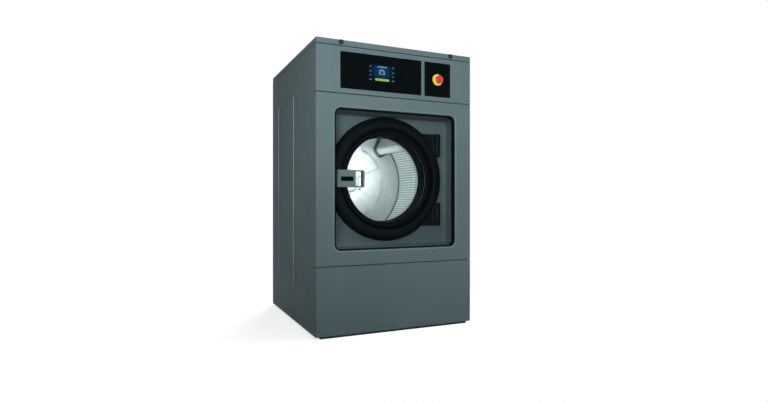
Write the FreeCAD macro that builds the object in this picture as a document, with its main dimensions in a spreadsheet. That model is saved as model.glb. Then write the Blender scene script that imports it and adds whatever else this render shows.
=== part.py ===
import FreeCAD, Part
import math
import os
from types import SimpleNamespace

import Sketcher

# Front-loading industrial washing machine, hard-mounted, in millimetres.
# The origin is on the floor under the middle of the cabinet: +X is the user's right,
# the front faces -Y and +Z is up. A depth is measured back from the front face.

# Driving sizes, one spreadsheet cell each
SIZES = {
    # cabinet
    "cabinet_width": 788,
    "cabinet_depth": 842,
    "cabinet_height": 1307,
    "sheet": 2,
    "seam": 2,
    "fold": 30,
    "fold_radius": 5,
    "panel_foot": 10,
    "lid_skirt": 25,
    "fascia_seam": 1072,
    "kick_seam": 312,
    "stand_out": 27,
    "side_emboss_depth": 4,
    "side_emboss_bottom": 178,
    "side_emboss_drop": 192,
    "side_emboss_width": 203,
    "front_emboss_centre": -140,
    "rear_emboss_centre": 182,
    "louvre_width": 120,
    "louvre_height": 7,
    "louvre_pitch": 22,
    "louvre_bottom": 420,
    "louvre_offset": 240,
    "lid_clip_offset": 279,
    "lid_clip_width": 22,
    "lid_clip_height": 20,
    "lid_clip_proud": 3,
    "lid_clip_radius": 7,
    "screw_head_radius": 6,
    "screw_head_height": 3,
    "screw_edge": 20,
    # frame
    "post": 40,
    "post_wall": 3,
    "base_height": 100,
    "rail_width": 60,
    "rail_wall": 4,
    "plinth_inset": 22,
    "plinth_setback": 8,
    "plinth_width": 120,
    "cross_width": 60,
    "cross_height": 60,
    "cradle_thickness": 12,
    "cradle_width": 660,
    "cradle_top": 520,
    "cradle_arch_width": 220,
    "cradle_arch_top": 290,
    "front_cradle_y": -190,
    "rear_cradle_y": 100,
    "anchor_spacing_x": 580,
    "anchor_spacing_y": 560,
    "anchor_radius": 9,
    # control panel
    "display_left": 282,
    "display_right": 120,
    "panel_margin_low": 23,
    "panel_margin_high": 25,
    "panel_glass": 4,
    "panel_gap": 0.3,
    "screen_centre": -83,
    "screen_width": 154,
    "screen_share": 0.679,
    "control_box_depth": 120,
    "control_box_front": 40,
    "control_box_left": 290,
    "control_box_right": 130,
    "control_box_margin": 18,
    "box_wall": 2,
    "estop_x": 207.5,
    "estop_plate_width": 141,
    "estop_collar_share": 0.166667,
    "estop_collar_height": 4,
    "estop_head_share": 0.703704,
    "estop_neck_share": 0.518519,
    "estop_head_length": 17,
    "estop_stem_share": 0.296296,
    "estop_stem_end": 30,
    "estop_block_share": 1.333333,
    "estop_block_end": 60,
    "estop_dome": 5,
    # door recess
    "opening_width": 614,
    "opening_bottom": 380,
    "opening_top": 1010,
    "opening_radius": 30,
    "opening_return": 16,
    "trim_setback": 3,
    "trim_width": 6,
    "rim_depth": 28,
    "rim_flange": 60,
    "pan_inset": 5,
    "pan_outset": 33,
    "pan_radius": 24,
    "pan_depth": 150,
    "pan_sheet": 2,
    # drum and tub
    "axis_height": 705,
    "drum_radius": 325,
    "drum_sheet": 2,
    "drum_front": 200,
    "drum_back": 660,
    "drum_back_plate": 3,
    "mouth_radius": 204,
    "mouth_lip": 18,
    "lifter_base": 90,
    "lifter_crown": 44,
    "lifter_height": 74,
    "lifter_setback": 14,
    "tub_gap": 32,
    "tub_sheet": 3,
    "tub_front": 168,
    "tub_back": 692,
    "tub_back_plate": 5,
    "tub_mouth_radius": 216,
    "tub_hub_radius": 45,
    "gasket_width": 28,
    "gasket_gap": 0.5,
    "spider_hub_radius": 70,
    "spider_arm_width": 54,
    "spider_arm_reach": 300,
    "spider_depth": 22,
    "shaft_radius": 25,
    "bearing_radius": 40,
    "bearing_width": 20,
    "bearing_span": 60,
    "bearing_setback": 9,
    "seal_width": 6,
    "housing_flange_radius": 150,
    "housing_flange": 18,
    "housing_barrel_radius": 60,
    "housing_length": 95,
    "running_gap": 0.3,
    "fit_gap": 0.05,
    # belt drive
    "pulley_front": 793,
    "pulley_width": 30,
    "drum_pulley_radius": 190,
    "drum_pulley_rim": 15,
    "drum_pulley_web": 10,
    "drum_pulley_hub": 45,
    "belt_thickness": 5,
    "belt_width": 22,
    "motor_x": 200,
    "motor_z": 230,
    "motor_radius": 85,
    "motor_front": 560,
    "motor_length": 200,
    "motor_wall": 28,
    "motor_end": 15,
    "motor_shaft_radius": 12,
    "motor_pulley_radius": 38,
    "motor_bracket_width": 150,
    "motor_bracket_plate": 8,
    # water, heat and drain
    "pipe_wall": 3,
    "neck_step": 0.6,
    "vent_x": -230,
    "vent_rise": 200,
    "vent_radius": 25,
    "inlet_offset": 120,
    "inlet_rise": 290,
    "inlet_radius": 13.2,
    "inlet_bore": 9,
    "inlet_body_size": 44,
    "inlet_stub_radius": 16,
    "inlet_stub": 40,
    "drain_y": -40,
    "drain_z": 190,
    "drain_radius": 38,
    "drain_bend": 60,
    "drain_spigot": 24,
    "drain_valve_y": 160,
    "drain_valve_length": 90,
    "drain_valve_radius": 52,
    "drain_disc_thickness": 6,
    "drain_spindle_radius": 6,
    "drain_actuator_size": 70,
    "drain_actuator_share": 0.534,
    "heater_radius": 6,
    "heater_front": 240,
    "heater_tail": 20,
    "heater_step": 15,
    # electrics
    "inverter_left": 330,
    "inverter_width": 130,
    "inverter_height": 230,
    "inverter_front": 246,
    "inverter_depth": 260,
    "terminal_inset": 122,
    "terminal_drop": 147,
    "terminal_size": 120,
    "terminal_depth": 80,
    "gland_radius": 12,
    "gland_nut_radius": 18,
    "gland_bore": 7,
    # door
    "ring_radius": 298,
    "ring_back": 135,
    "ring_edge": 130,
    "ring_shoulder_radius": 285,
    "ring_shoulder": 113,
    "ring_crest_radius": 270,
    "ring_crest": 104,
    "ring_inner_radius": 246,
    "ring_wall": 4,
    "door_frame_front": 130,
    "door_frame_thickness": 10,
    "door_frame_inner": 214,
    "door_frame_outer": 288,
    "bezel_lip_radius": 209,
    "bezel_ridge_radius": 228,
    "bezel_ridge": 115,
    "bezel_lip": 119,
    "bezel_wall": 4,
    "glass_flange_radius": 226,
    "glass_thickness": 5,
    "glass_throat_radius": 205,
    "glass_floor_radius": 187,
    "glass_floor": 200,
    "glass_dome": 14,
    "ear_inner": 114,
    "ear_outer": 227,
    "ear_front": 112,
    "ear_wall": 30,
    "hinge_x": 268,
    "hinge_depth": 104,
    "hinge_pin_radius": 5,
    "knuckle_radius": 10,
    "knuckle_cover": 14,
    "bracket_width": 16,
    "bracket_foot": 24,
    # handle and latch
    "handle_left": 273,
    "handle_width": 133,
    "handle_height": 79,
    "handle_drop": 3.5,
    "handle_front": 65,
    "handle_thickness": 22,
    "handle_grip": 11,
    "window_width": 33,
    "window_margin": 6,
    "latch_x": 268,
    "latch_depth": 100,
    "latch_pin_radius": 3,
    "latch_ear_half": 8,
    "latch_ear_height": 11,
    "tongue_left": 8,
    "tongue_width": 10,
    "tongue_height": 12,
    "tongue_tip": 160,
    "tongue_slot_left": 278,
    "tongue_slot_width": 27,
    "latch_front": 93,
    "latch_wall": 9,
    "latch_height": 71,
    "latch_left": 289,
    "latch_right": 246.5,
    "lock_depth": 14,
    "lock_wall": 4,
    "lock_margin": 16,
}


class Size:
    """A length that carries its value and the cell expression that gives it."""

    def __init__(self, text, value):
        self.text = text
        self.value = value

    def __add__(self, other):
        other = as_size(other)
        return Size(f"({self.text} + {other.text})", self.value + other.value)

    def __sub__(self, other):
        other = as_size(other)
        return Size(f"({self.text} - {other.text})", self.value - other.value)

    def __mul__(self, other):
        other = as_size(other)
        return Size(f"({self.text} * {other.text})", self.value * other.value)

    def __truediv__(self, other):
        other = as_size(other)
        return Size(f"({self.text} / {other.text})", self.value / other.value)

    def __radd__(self, other):
        return as_size(other) + self

    def __rsub__(self, other):
        return as_size(other) - self

    def __rmul__(self, other):
        return as_size(other) * self

    def __neg__(self):
        return Size(f"(-{self.text})", -self.value)


def as_size(item):
    if isinstance(item, Size):
        return item
    return Size(f"({float(item):.9f})", float(item))


def root(size):
    return Size(f"sqrt({size.text})", math.sqrt(size.value))


doc = FreeCAD.newDocument("washing_machine")
sheet = doc.addObject("Spreadsheet::Sheet", "dims")
for row, (name, number) in enumerate(SIZES.items(), start=1):
    sheet.set(f"A{row}", name)
    sheet.set(f"B{row}", str(number))
    sheet.setAlias(f"B{row}", name)
doc.recompute()
dim = SimpleNamespace(**{name: Size(f"dims.{name}", float(sheet.get(name))) for name in SIZES})

# Features that every sub-part is made from
subparts = []


def new_body(label, x=None, z=None):
    """Start a sub-part; x and z place it where its own axis runs along Y."""
    body = doc.addObject("PartDesign::Body", label)
    body.Label = label
    if x is not None:
        body.setExpression("Placement.Base.x", as_size(x).text)
    if z is not None:
        body.setExpression("Placement.Base.z", as_size(z).text)
    subparts.append(body)
    return body


def sketch_on(body, plane, offset):
    sketch = body.newObject("Sketcher::SketchObject", f"{body.Name}_sketch")
    support = [item for item in body.Origin.OriginFeatures if item.Role == f"{plane}_Plane"]
    sketch.AttachmentSupport = [(support[0], "")]
    sketch.MapMode = "FlatFace"
    sketch.setExpression("AttachmentOffset.Base.z", as_size(offset).text)
    return sketch


def pin_point(sketch, geometry, end, x, y):
    """Fix a point of the sketch at a bound distance from the sketch's origin."""
    for kind, size in (("DistanceX", x), ("DistanceY", y)):
        index = sketch.addConstraint(Sketcher.Constraint(kind, -1, 1, geometry, end, size.value))
        sketch.setExpression(f"Constraints[{index}]", size.text)


def pin_radius(sketch, geometry, radius):
    index = sketch.addConstraint(Sketcher.Constraint("Radius", geometry, radius.value))
    sketch.setExpression(f"Constraints[{index}]", radius.text)


def side(start, end):
    """Which way end lies from start: -1, 0 or 1."""
    step = end.value - start.value
    return 0 if abs(step) < 1e-9 else math.copysign(1, step)


def draw_circle(sketch, x, y, radius):
    x, y, radius = as_size(x), as_size(y), as_size(radius)
    centre = FreeCAD.Vector(x.value, y.value, 0)
    circle = sketch.addGeometry(Part.Circle(centre, FreeCAD.Vector(0, 0, 1), radius.value))
    pin_point(sketch, circle, 3, x, y)
    pin_radius(sketch, circle, radius)


def outline_stops(corners):
    """Stops along a closed outline; a corner with a third value is rounded to that radius."""
    corners = [tuple(as_size(item) for item in corner) for corner in corners]
    stops = []
    for index, corner in enumerate(corners):
        x, y = corner[0], corner[1]
        if len(corner) == 2:
            stops.append((x, y, None, 0))
            continue
        before = corners[index - 1]
        after = corners[(index + 1) % len(corners)]
        back_x, back_y = side(x, before[0]), side(y, before[1])
        on_x, on_y = side(x, after[0]), side(y, after[1])
        turn = -back_x * on_y + back_y * on_x
        stops.append((x + corner[2] * back_x, y + corner[2] * back_y, corner, turn))
        stops.append((x + corner[2] * on_x, y + corner[2] * on_y, None, 0))
    return stops


def draw_outline(sketch, corners):
    stops = outline_stops(corners)
    ends = []
    for index, (x, y, corner, turn) in enumerate(stops):
        after = stops[(index + 1) % len(stops)]
        start = FreeCAD.Vector(x.value, y.value, 0)
        end = FreeCAD.Vector(after[0].value, after[1].value, 0)
        if corner is None:
            line = sketch.addGeometry(Part.LineSegment(start, end))
            ends.append((line, 1, 2))
            continue
        apex = FreeCAD.Vector(corner[0].value, corner[1].value, 0)
        centre = start + end - apex
        middle = centre + (apex - centre).normalize() * corner[2].value
        arc = sketch.addGeometry(Part.Arc(start, middle, end))
        ends.append((arc, 1, 2) if turn > 0 else (arc, 2, 1))
    for index, (geometry, first, last) in enumerate(ends):
        following = ends[(index + 1) % len(ends)]
        sketch.addConstraint(Sketcher.Constraint("Coincident", geometry, last, following[0], following[1]))
    for (x, y, corner, turn), (geometry, first, last) in zip(stops, ends):
        pin_point(sketch, geometry, first, x, y)
        if corner is not None:
            pin_radius(sketch, geometry, corner[2])


def draw_loops(sketch, loops):
    """A loop is a list of corners, or the centre and radius of a circle."""
    for loop in loops:
        if isinstance(loop, tuple):
            draw_circle(sketch, *loop)
        else:
            draw_outline(sketch, loop)


def rectangle(x0, x1, y0, y1, radius=None):
    corners = [(x0, y0), (x1, y0), (x1, y1), (x0, y1)]
    return [corner if radius is None else corner + (radius,) for corner in corners]


def along(body, plane, kind, loops, low, high):
    """Pad or pocket loops from low to high along the plane's axis: XY is Z, XZ is Y, YZ is X."""
    normal = -1 if plane == "XZ" else 1
    grows = kind == "Pad"
    seat = low if (normal > 0) == grows else high
    sketch = sketch_on(body, plane, normal * as_size(seat))
    draw_loops(sketch, loops)
    feature = body.newObject(f"PartDesign::{kind}", f"{body.Name}_{kind.lower()}")
    feature.Profile = sketch
    feature.setExpression("Length", (as_size(high) - as_size(low)).text)
    return feature


def pad(body, plane, loops, low, high):
    return along(body, plane, "Pad", loops, low, high)


def pocket(body, plane, loops, low, high):
    return along(body, plane, "Pocket", loops, low, high)


def spin(body, corners, kind="Revolution"):
    """Turn a profile of (y, radius) corners about the body's own Y axis."""
    sketch = sketch_on(body, "YZ", 0)
    draw_loops(sketch, [corners])
    feature = body.newObject(f"PartDesign::{kind}", f"{body.Name}_{kind.lower()}")
    feature.Profile = sketch
    feature.ReferenceAxis = (sketch, ["H_Axis"])
    feature.Angle = 360
    return feature


def tube(body, y0, y1, inner, outer):
    return spin(body, [(y0, inner), (y1, inner), (y1, outer), (y0, outer)])


# Planes that the sub-parts share
half_width = dim.cabinet_width / 2
front = -dim.cabinet_depth / 2
back = dim.cabinet_depth / 2
inside_x = half_width - dim.sheet
inside_back = back - dim.sheet
lid_bottom = dim.cabinet_height - dim.lid_skirt
panel_top_edge = lid_bottom - dim.seam
frame_top = dim.cabinet_height - dim.sheet
frame_front = front + dim.fold


def at(depth):
    """The Y of a depth behind the front face."""
    return front + depth


# Base frame: inverted-channel rails on a flat plinth that is anchored to the floor
base_frame = new_body("base_frame")
rail_inside_x = inside_x - dim.rail_width
rail_inside_front = frame_front + dim.rail_width
rail_inside_back = inside_back - dim.rail_width
rail_outside = rectangle(-inside_x, inside_x, frame_front, inside_back)
rail_inside = rectangle(-rail_inside_x, rail_inside_x, rail_inside_front, rail_inside_back)
pad(base_frame, "XY", [rail_outside, rail_inside], dim.panel_foot, dim.base_height)
wall = dim.rail_wall
channel_outside = rectangle(-inside_x + wall, inside_x - wall, frame_front + wall, inside_back - wall)
channel_inside = rectangle(-rail_inside_x - wall, rail_inside_x + wall,
                           rail_inside_front - wall, rail_inside_back + wall)
pocket(base_frame, "XY", [channel_outside, channel_inside], dim.panel_foot, dim.base_height - wall)
plinth_x = half_width - dim.plinth_inset
plinth_y = back - dim.plinth_setback
plinth_hole_x = plinth_x - dim.plinth_width
plinth_hole_y = plinth_y - dim.plinth_width
pad(base_frame, "XY", [rectangle(-plinth_x, plinth_x, -plinth_y, plinth_y),
                       rectangle(-plinth_hole_x, plinth_hole_x, -plinth_hole_y, plinth_hole_y)],
    0, dim.panel_foot)
cradle_middles = (dim.front_cradle_y, dim.rear_cradle_y)
for middle in cradle_middles:
    pad(base_frame, "XY", [rectangle(-rail_inside_x - wall / 2, rail_inside_x + wall / 2,
                                     middle - dim.cross_width / 2, middle + dim.cross_width / 2)],
        dim.base_height - dim.cross_height, dim.base_height)
anchors = [(sx * dim.anchor_spacing_x / 2, sy * dim.anchor_spacing_y / 2, dim.anchor_radius)
           for sx in (-1, 1) for sy in (-1, 1)]
pocket(base_frame, "XY", anchors, 0, dim.panel_foot)

# Corner posts: four square tubes that stand on the rails and carry the panels
post_top = frame_top - dim.post
corner_posts = new_body("corner_posts")
for sign in (-1, 1):
    for post_front in (frame_front, inside_back - dim.post):
        outer_x = sign * inside_x
        inner_x = sign * (inside_x - dim.post)
        thin = dim.post_wall
        pad(corner_posts, "XY",
            [rectangle(outer_x, inner_x, post_front, post_front + dim.post),
             rectangle(outer_x - sign * thin, inner_x + sign * thin,
                       post_front + thin, post_front + dim.post - thin)],
            dim.base_height, post_top)

# Top frame: a channel ring on the posts, which the lid lies on
top_frame = new_body("top_frame")
top_inside_x = inside_x - dim.post
top_outside = rectangle(-inside_x, inside_x, frame_front, inside_back)
top_inside = rectangle(-top_inside_x, top_inside_x, frame_front + dim.post, inside_back - dim.post)
pad(top_frame, "XY", [top_outside, top_inside], post_top, frame_top)
thin = dim.post_wall
pocket(top_frame, "XY",
       [rectangle(-inside_x + thin, inside_x - thin, frame_front + thin, inside_back - thin),
        rectangle(-top_inside_x - thin, top_inside_x + thin,
                  frame_front + dim.post - thin, inside_back - dim.post + thin)],
       post_top, frame_top - thin)

# Tub cradles: two saddle plates across the base, one under each end of the tub
tub_inner_radius = dim.drum_radius + dim.tub_gap
tub_radius = tub_inner_radius + dim.tub_sheet
tub_cradles = new_body("tub_cradles")
for middle in cradle_middles:
    pad(tub_cradles, "XZ",
        [rectangle(-dim.cradle_width / 2, dim.cradle_width / 2, dim.base_height, dim.cradle_top)],
        middle - dim.cradle_thickness / 2, middle + dim.cradle_thickness / 2)
pocket(tub_cradles, "XZ", [(0, dim.axis_height, tub_radius + dim.fit_gap)],
       dim.front_cradle_y - dim.cradle_thickness, dim.rear_cradle_y + dim.cradle_thickness)
pocket(tub_cradles, "XZ",
       [rectangle(-dim.cradle_arch_width / 2, dim.cradle_arch_width / 2,
                  dim.base_height, dim.cradle_arch_top)],
       dim.front_cradle_y - dim.cradle_thickness, dim.rear_cradle_y + dim.cradle_thickness)

# Side panels: flat sheets with two tall pressed-in fields each
side_front = frame_front + dim.seam / 2
for label, sign in (("left_side_panel", -1), ("right_side_panel", 1)):
    panel = new_body(label)
    emboss_top = dim.cabinet_height - dim.side_emboss_drop
    field_y = [(middle - dim.side_emboss_width / 2, middle + dim.side_emboss_width / 2)
               for middle in (dim.front_emboss_centre, dim.rear_emboss_centre)]
    fields = [rectangle(y0, y1, dim.side_emboss_bottom, emboss_top) for y0, y1 in field_y]
    trays = [rectangle(y0 - dim.sheet, y1 + dim.sheet,
                       dim.side_emboss_bottom - dim.sheet, emboss_top + dim.sheet)
             for y0, y1 in field_y]
    faces = sorted((sign * inside_x, sign * half_width), key=lambda face: face.value)
    pad(panel, "YZ", [rectangle(side_front, inside_back, dim.panel_foot, panel_top_edge)], *faces)
    tray_faces = sorted((sign * (inside_x - dim.side_emboss_depth), sign * inside_x),
                        key=lambda face: face.value)
    pad(panel, "YZ", trays, *tray_faces)
    cut_faces = sorted((sign * (half_width - dim.side_emboss_depth), sign * half_width),
                       key=lambda face: face.value)
    pocket(panel, "YZ", fields, *cut_faces)

# Back panel: one sheet with louvres and a hole for each connection
inlet_places = [(sign * dim.inlet_offset, dim.axis_height + dim.inlet_rise) for sign in (-1, 1)]
vent_z = dim.axis_height + dim.vent_rise
terminal_x = dim.terminal_inset - inside_x
terminal_z = dim.cabinet_height - dim.terminal_drop
back_panel = new_body("back_panel")
pad(back_panel, "XZ", [rectangle(-half_width, half_width, dim.panel_foot, panel_top_edge)],
    inside_back, back)
LOUVRES = 7
louvres = []
for sign in (-1, 1):
    for step in range(LOUVRES):
        low = dim.louvre_bottom + step * dim.louvre_pitch
        middle = sign * dim.louvre_offset
        louvres.append(rectangle(middle - dim.louvre_width / 2, middle + dim.louvre_width / 2,
                                 low, low + dim.louvre_height))
fittings = [(x, z, dim.inlet_radius + dim.panel_gap) for x, z in inlet_places]
fittings.append((dim.vent_x, vent_z, dim.vent_radius + dim.panel_gap))
fittings.append((0, dim.drain_z, dim.drain_radius + dim.panel_gap))
fittings.append((terminal_x, terminal_z, dim.gland_radius + dim.panel_gap))
pocket(back_panel, "XZ", louvres + fittings, inside_back, back)

# Panel screws: dome heads along the two sides of the back panel
SCREWS_PER_SIDE = 5
panel_screws = new_body("panel_screws")
screw_run = panel_top_edge - dim.panel_foot - 2 * dim.screw_edge
screws = [(sign * (half_width - dim.screw_edge),
           dim.panel_foot + dim.screw_edge + screw_run * step / (SCREWS_PER_SIDE - 1),
           dim.screw_head_radius)
          for sign in (-1, 1) for step in range(SCREWS_PER_SIDE)]
pad(panel_screws, "XZ", screws, back, back + dim.screw_head_height)

# Top cover: a shallow tray turned over, with two black clips at its front edge
top_cover = new_body("top_cover")
pad(top_cover, "XY", [rectangle(-half_width, half_width, front, back, dim.fold_radius)],
    lid_bottom, dim.cabinet_height)
pocket(top_cover, "XY", [rectangle(-inside_x, inside_x, front + dim.sheet, inside_back)],
       lid_bottom, frame_top)
lid_clips = new_body("lid_clips")
clip_bottom = dim.cabinet_height - dim.lid_clip_height
clip_loops = []
for sign in (-1, 1):
    left = sign * dim.lid_clip_offset - dim.lid_clip_width / 2
    right = left + dim.lid_clip_width
    clip_loops.append([(left, clip_bottom, dim.lid_clip_radius), (right, clip_bottom, dim.lid_clip_radius),
                       (right, dim.cabinet_height), (left, dim.cabinet_height)])
pad(lid_clips, "XZ", clip_loops, front - dim.lid_clip_proud, front)


def folded_panel(label, low, high):
    """A front panel: sheet folded back on all four sides, with rounded upright edges."""
    panel = new_body(label)
    pad(panel, "XY",
        [[(-half_width, front, dim.fold_radius), (half_width, front, dim.fold_radius),
          (half_width, frame_front), (-half_width, frame_front)]], low, high)
    pocket(panel, "XZ", [rectangle(-inside_x, inside_x, low + dim.sheet, high - dim.sheet)],
           front + dim.sheet, frame_front)
    return panel


# Control fascia with its two black panels
control_fascia = folded_panel("control_fascia", dim.fascia_seam + dim.seam / 2, panel_top_edge)
panel_bottom = dim.fascia_seam + dim.panel_margin_low
panel_top = lid_bottom - dim.panel_margin_high
panel_height = panel_top - panel_bottom
panel_middle = (panel_bottom + panel_top) / 2
collar_radius = panel_height * dim.estop_collar_share
stem_radius = collar_radius * dim.estop_stem_share
gap = dim.panel_gap
display_field = (-dim.display_left, dim.display_right)
estop_field = (dim.estop_x - dim.estop_plate_width / 2, dim.estop_x + dim.estop_plate_width / 2)
pocket(control_fascia, "XZ",
       [rectangle(left - gap, right + gap, panel_bottom - gap, panel_top + gap)
        for left, right in (display_field, estop_field)], front, front + dim.sheet)
display_glass = new_body("display_glass")
pad(display_glass, "XZ", [rectangle(*display_field, panel_bottom, panel_top)],
    front, at(dim.panel_glass))
estop_plate = new_body("estop_plate")
pad(estop_plate, "XZ", [rectangle(*estop_field, panel_bottom, panel_top),
                        (dim.estop_x, panel_middle, stem_radius + dim.running_gap)],
    front, at(dim.panel_glass))

# Screen module and control box behind the fascia
half_screen = panel_height * dim.screen_share / 2
display_module = new_body("display_module")
pad(display_module, "XZ",
    [rectangle(dim.screen_centre - dim.screen_width / 2, dim.screen_centre + dim.screen_width / 2,
               panel_middle - half_screen, panel_middle + half_screen)],
    at(dim.panel_glass), at(dim.control_box_front))
control_box = new_body("control_box")
box_bottom = dim.fascia_seam + dim.control_box_margin
box_back = at(dim.control_box_front + dim.control_box_depth)
pad(control_box, "XZ",
    [rectangle(-dim.control_box_left, dim.control_box_right, box_bottom, post_top)],
    at(dim.control_box_front), box_back)
pocket(control_box, "XZ",
       [rectangle(-dim.control_box_left + dim.box_wall, dim.control_box_right - dim.box_wall,
                  box_bottom + dim.box_wall, post_top - dim.box_wall)],
       at(dim.control_box_front) + dim.box_wall, box_back)

# Emergency stop: fixed collar and contact block, a stem that slides and a head that twists on it
head_front = front - dim.stand_out
head_back = head_front + dim.estop_head_length
stem_front = head_front + dim.estop_dome + dim.estop_collar_height
stem_hole = stem_radius + dim.running_gap
estop_collar = new_body("estop_collar", dim.estop_x, panel_middle)
tube(estop_collar, front - dim.estop_collar_height, front, stem_hole, collar_radius)
estop_block = new_body("estop_block", dim.estop_x, panel_middle)
half_block = collar_radius * dim.estop_block_share / 2
pad(estop_block, "XZ", [rectangle(-half_block, half_block, -half_block, half_block), (0, 0, stem_hole)],
    at(dim.panel_glass), at(dim.estop_block_end))
estop_stem = new_body("estop_stem", dim.estop_x, panel_middle)
pad(estop_stem, "XZ", [(0, 0, stem_radius)], stem_front, at(dim.estop_stem_end))
estop_head = new_body("estop_head", dim.estop_x, panel_middle)
head_radius = collar_radius * dim.estop_head_share
head_neck = collar_radius * dim.estop_neck_share
spin(estop_head, [(head_front, 0), (head_front, head_neck),
                  (head_front + dim.estop_dome, head_radius),
                  (head_back - dim.estop_dome, head_radius),
                  (head_back, head_neck), (head_back, stem_hole),
                  (stem_front - dim.running_gap, stem_hole), (stem_front - dim.running_gap, 0)])

# Front panel with the rounded door opening, and the kick panel under it
half_opening = dim.opening_width / 2


def opening_loop(grow):
    """The door opening's outline, moved outwards by grow."""
    return rectangle(-half_opening - grow, half_opening + grow,
                     dim.opening_bottom - grow, dim.opening_top + grow, dim.opening_radius + grow)


front_panel = folded_panel("front_panel", dim.kick_seam + dim.seam / 2, dim.fascia_seam - dim.seam / 2)
pocket(front_panel, "XZ", [opening_loop(as_size(0))], front, front + dim.sheet)
pad(front_panel, "XZ", [opening_loop(dim.sheet), opening_loop(as_size(0))], front, at(dim.opening_return))
lower_front_panel = folded_panel("lower_front_panel", dim.panel_foot, dim.kick_seam - dim.seam / 2)

# Opening trim: a black rubber frame between the front panel and the recess pan
opening_trim = new_body("opening_trim")
pad(opening_trim, "XZ", [opening_loop(as_size(0)), opening_loop(-dim.trim_width)],
    at(dim.trim_setback), at(dim.rim_depth))

# Recess pan: a deep drawn tray that the door closes into, bolted to the posts by its rim
gasket_radius = dim.tub_mouth_radius + dim.gasket_width
pan_back = at(dim.pan_depth + dim.pan_sheet)
latch_slot = (-dim.tongue_slot_left, -dim.tongue_slot_left + dim.tongue_slot_width)
tongue_slot = rectangle(*latch_slot, dim.axis_height - dim.tongue_height, dim.axis_height + dim.tongue_height)


def pan_loop(grow):
    """The pan's walls, which are wider than the opening, moved outwards by grow."""
    out = half_opening + dim.pan_outset + grow
    return rectangle(-out, out, dim.opening_bottom + dim.pan_inset - grow,
                     dim.opening_top - dim.pan_inset + grow, dim.pan_radius + grow)


recess_pan = new_body("recess_pan")
rim_back = at(dim.rim_depth + dim.pan_sheet)
pad(recess_pan, "XZ", [pan_loop(dim.pan_sheet)], at(dim.rim_depth), pan_back)
pad(recess_pan, "XZ", [opening_loop(-dim.pan_inset + dim.rim_flange)], at(dim.rim_depth), rim_back)
pocket(recess_pan, "XZ", [opening_loop(-dim.pan_inset)], at(dim.rim_depth), rim_back)
pocket(recess_pan, "XZ", [pan_loop(as_size(0))], rim_back, at(dim.pan_depth))
pocket(recess_pan, "XZ", [(0, dim.axis_height, gasket_radius + dim.fit_gap), tongue_slot],
       at(dim.pan_depth), pan_back)

# Outer tub: a closed steel drum with a mouth, a bearing hole, a drain spigot and its connections
outer_tub = new_body("outer_tub", z=dim.axis_height)
tub_front, tub_back = at(dim.tub_front), at(dim.tub_back)
tub_floor = tub_back - dim.tub_back_plate
spin(outer_tub, [(tub_front, 0), (tub_back, 0), (tub_back, tub_radius), (tub_front, tub_radius)])
spigot_bottom = -tub_radius - dim.drain_spigot
spigot_top = -tub_inner_radius + dim.drain_spigot
pad(outer_tub, "XY", [(0, dim.drain_y, dim.drain_radius)], spigot_bottom, spigot_top)
spin(outer_tub, [(tub_front + dim.tub_sheet, 0), (tub_floor, 0),
                 (tub_floor, tub_inner_radius), (tub_front + dim.tub_sheet, tub_inner_radius)], "Groove")
pocket(outer_tub, "XZ", [(0, 0, dim.tub_mouth_radius)], tub_front, tub_front + dim.tub_sheet)
drain_bore = dim.drain_radius - dim.pipe_wall
pocket(outer_tub, "XY", [(0, dim.drain_y, drain_bore)], spigot_bottom, spigot_top)
heater_ring = (dim.drum_radius + tub_inner_radius) / 2
heater_angles = [math.radians(-90 + dim.heater_step.value * step) for step in (-1, 0, 1)]
heater_places = [(heater_ring * math.cos(angle), heater_ring * math.sin(angle)) for angle in heater_angles]
tub_holes = [(0, 0, dim.tub_hub_radius), (dim.vent_x, dim.vent_rise,
                                          dim.vent_radius - dim.pipe_wall)]
tub_holes += [(x, z - dim.axis_height, dim.inlet_bore) for x, z in inlet_places]
tub_holes += [(x, z, dim.heater_radius + dim.running_gap) for x, z in heater_places]
pocket(outer_tub, "XZ", tub_holes, tub_floor, tub_back)

# Heating elements: three rods through the tub's back wall, in the gap under the drum
heating_elements = new_body("heating_elements", z=dim.axis_height)
pad(heating_elements, "XZ", [(x, z, dim.heater_radius) for x, z in heater_places],
    at(dim.heater_front), tub_back + dim.heater_tail)

# Door gasket: a rubber ring between the tub's mouth and the back of the door
door_gasket = new_body("door_gasket", z=dim.axis_height)
door_back = at(dim.door_frame_front + dim.door_frame_thickness)
tube(door_gasket, door_back + dim.gasket_gap, tub_front, dim.tub_mouth_radius, gasket_radius)

# Bearing housing with its two bearings and the shaft seal
housing_back = tub_back + dim.housing_length
bearing_housing = new_body("bearing_housing", z=dim.axis_height)
spin(bearing_housing, [(tub_back, dim.bearing_radius), (housing_back, dim.bearing_radius),
                       (housing_back, dim.housing_barrel_radius),
                       (tub_back + dim.housing_flange, dim.housing_barrel_radius),
                       (tub_back + dim.housing_flange, dim.housing_flange_radius),
                       (tub_back, dim.housing_flange_radius)])
first_bearing = tub_back + dim.bearing_setback
second_bearing = first_bearing + dim.bearing_span
shaft_hole = dim.shaft_radius + dim.running_gap
shaft_bearings = new_body("shaft_bearings", z=dim.axis_height)
for start in (first_bearing, second_bearing):
    tube(shaft_bearings, start, start + dim.bearing_width, shaft_hole, dim.bearing_radius)
shaft_seal = new_body("shaft_seal", z=dim.axis_height)
tube(shaft_seal, tub_back, tub_back + dim.seal_width, shaft_hole, dim.bearing_radius)

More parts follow.
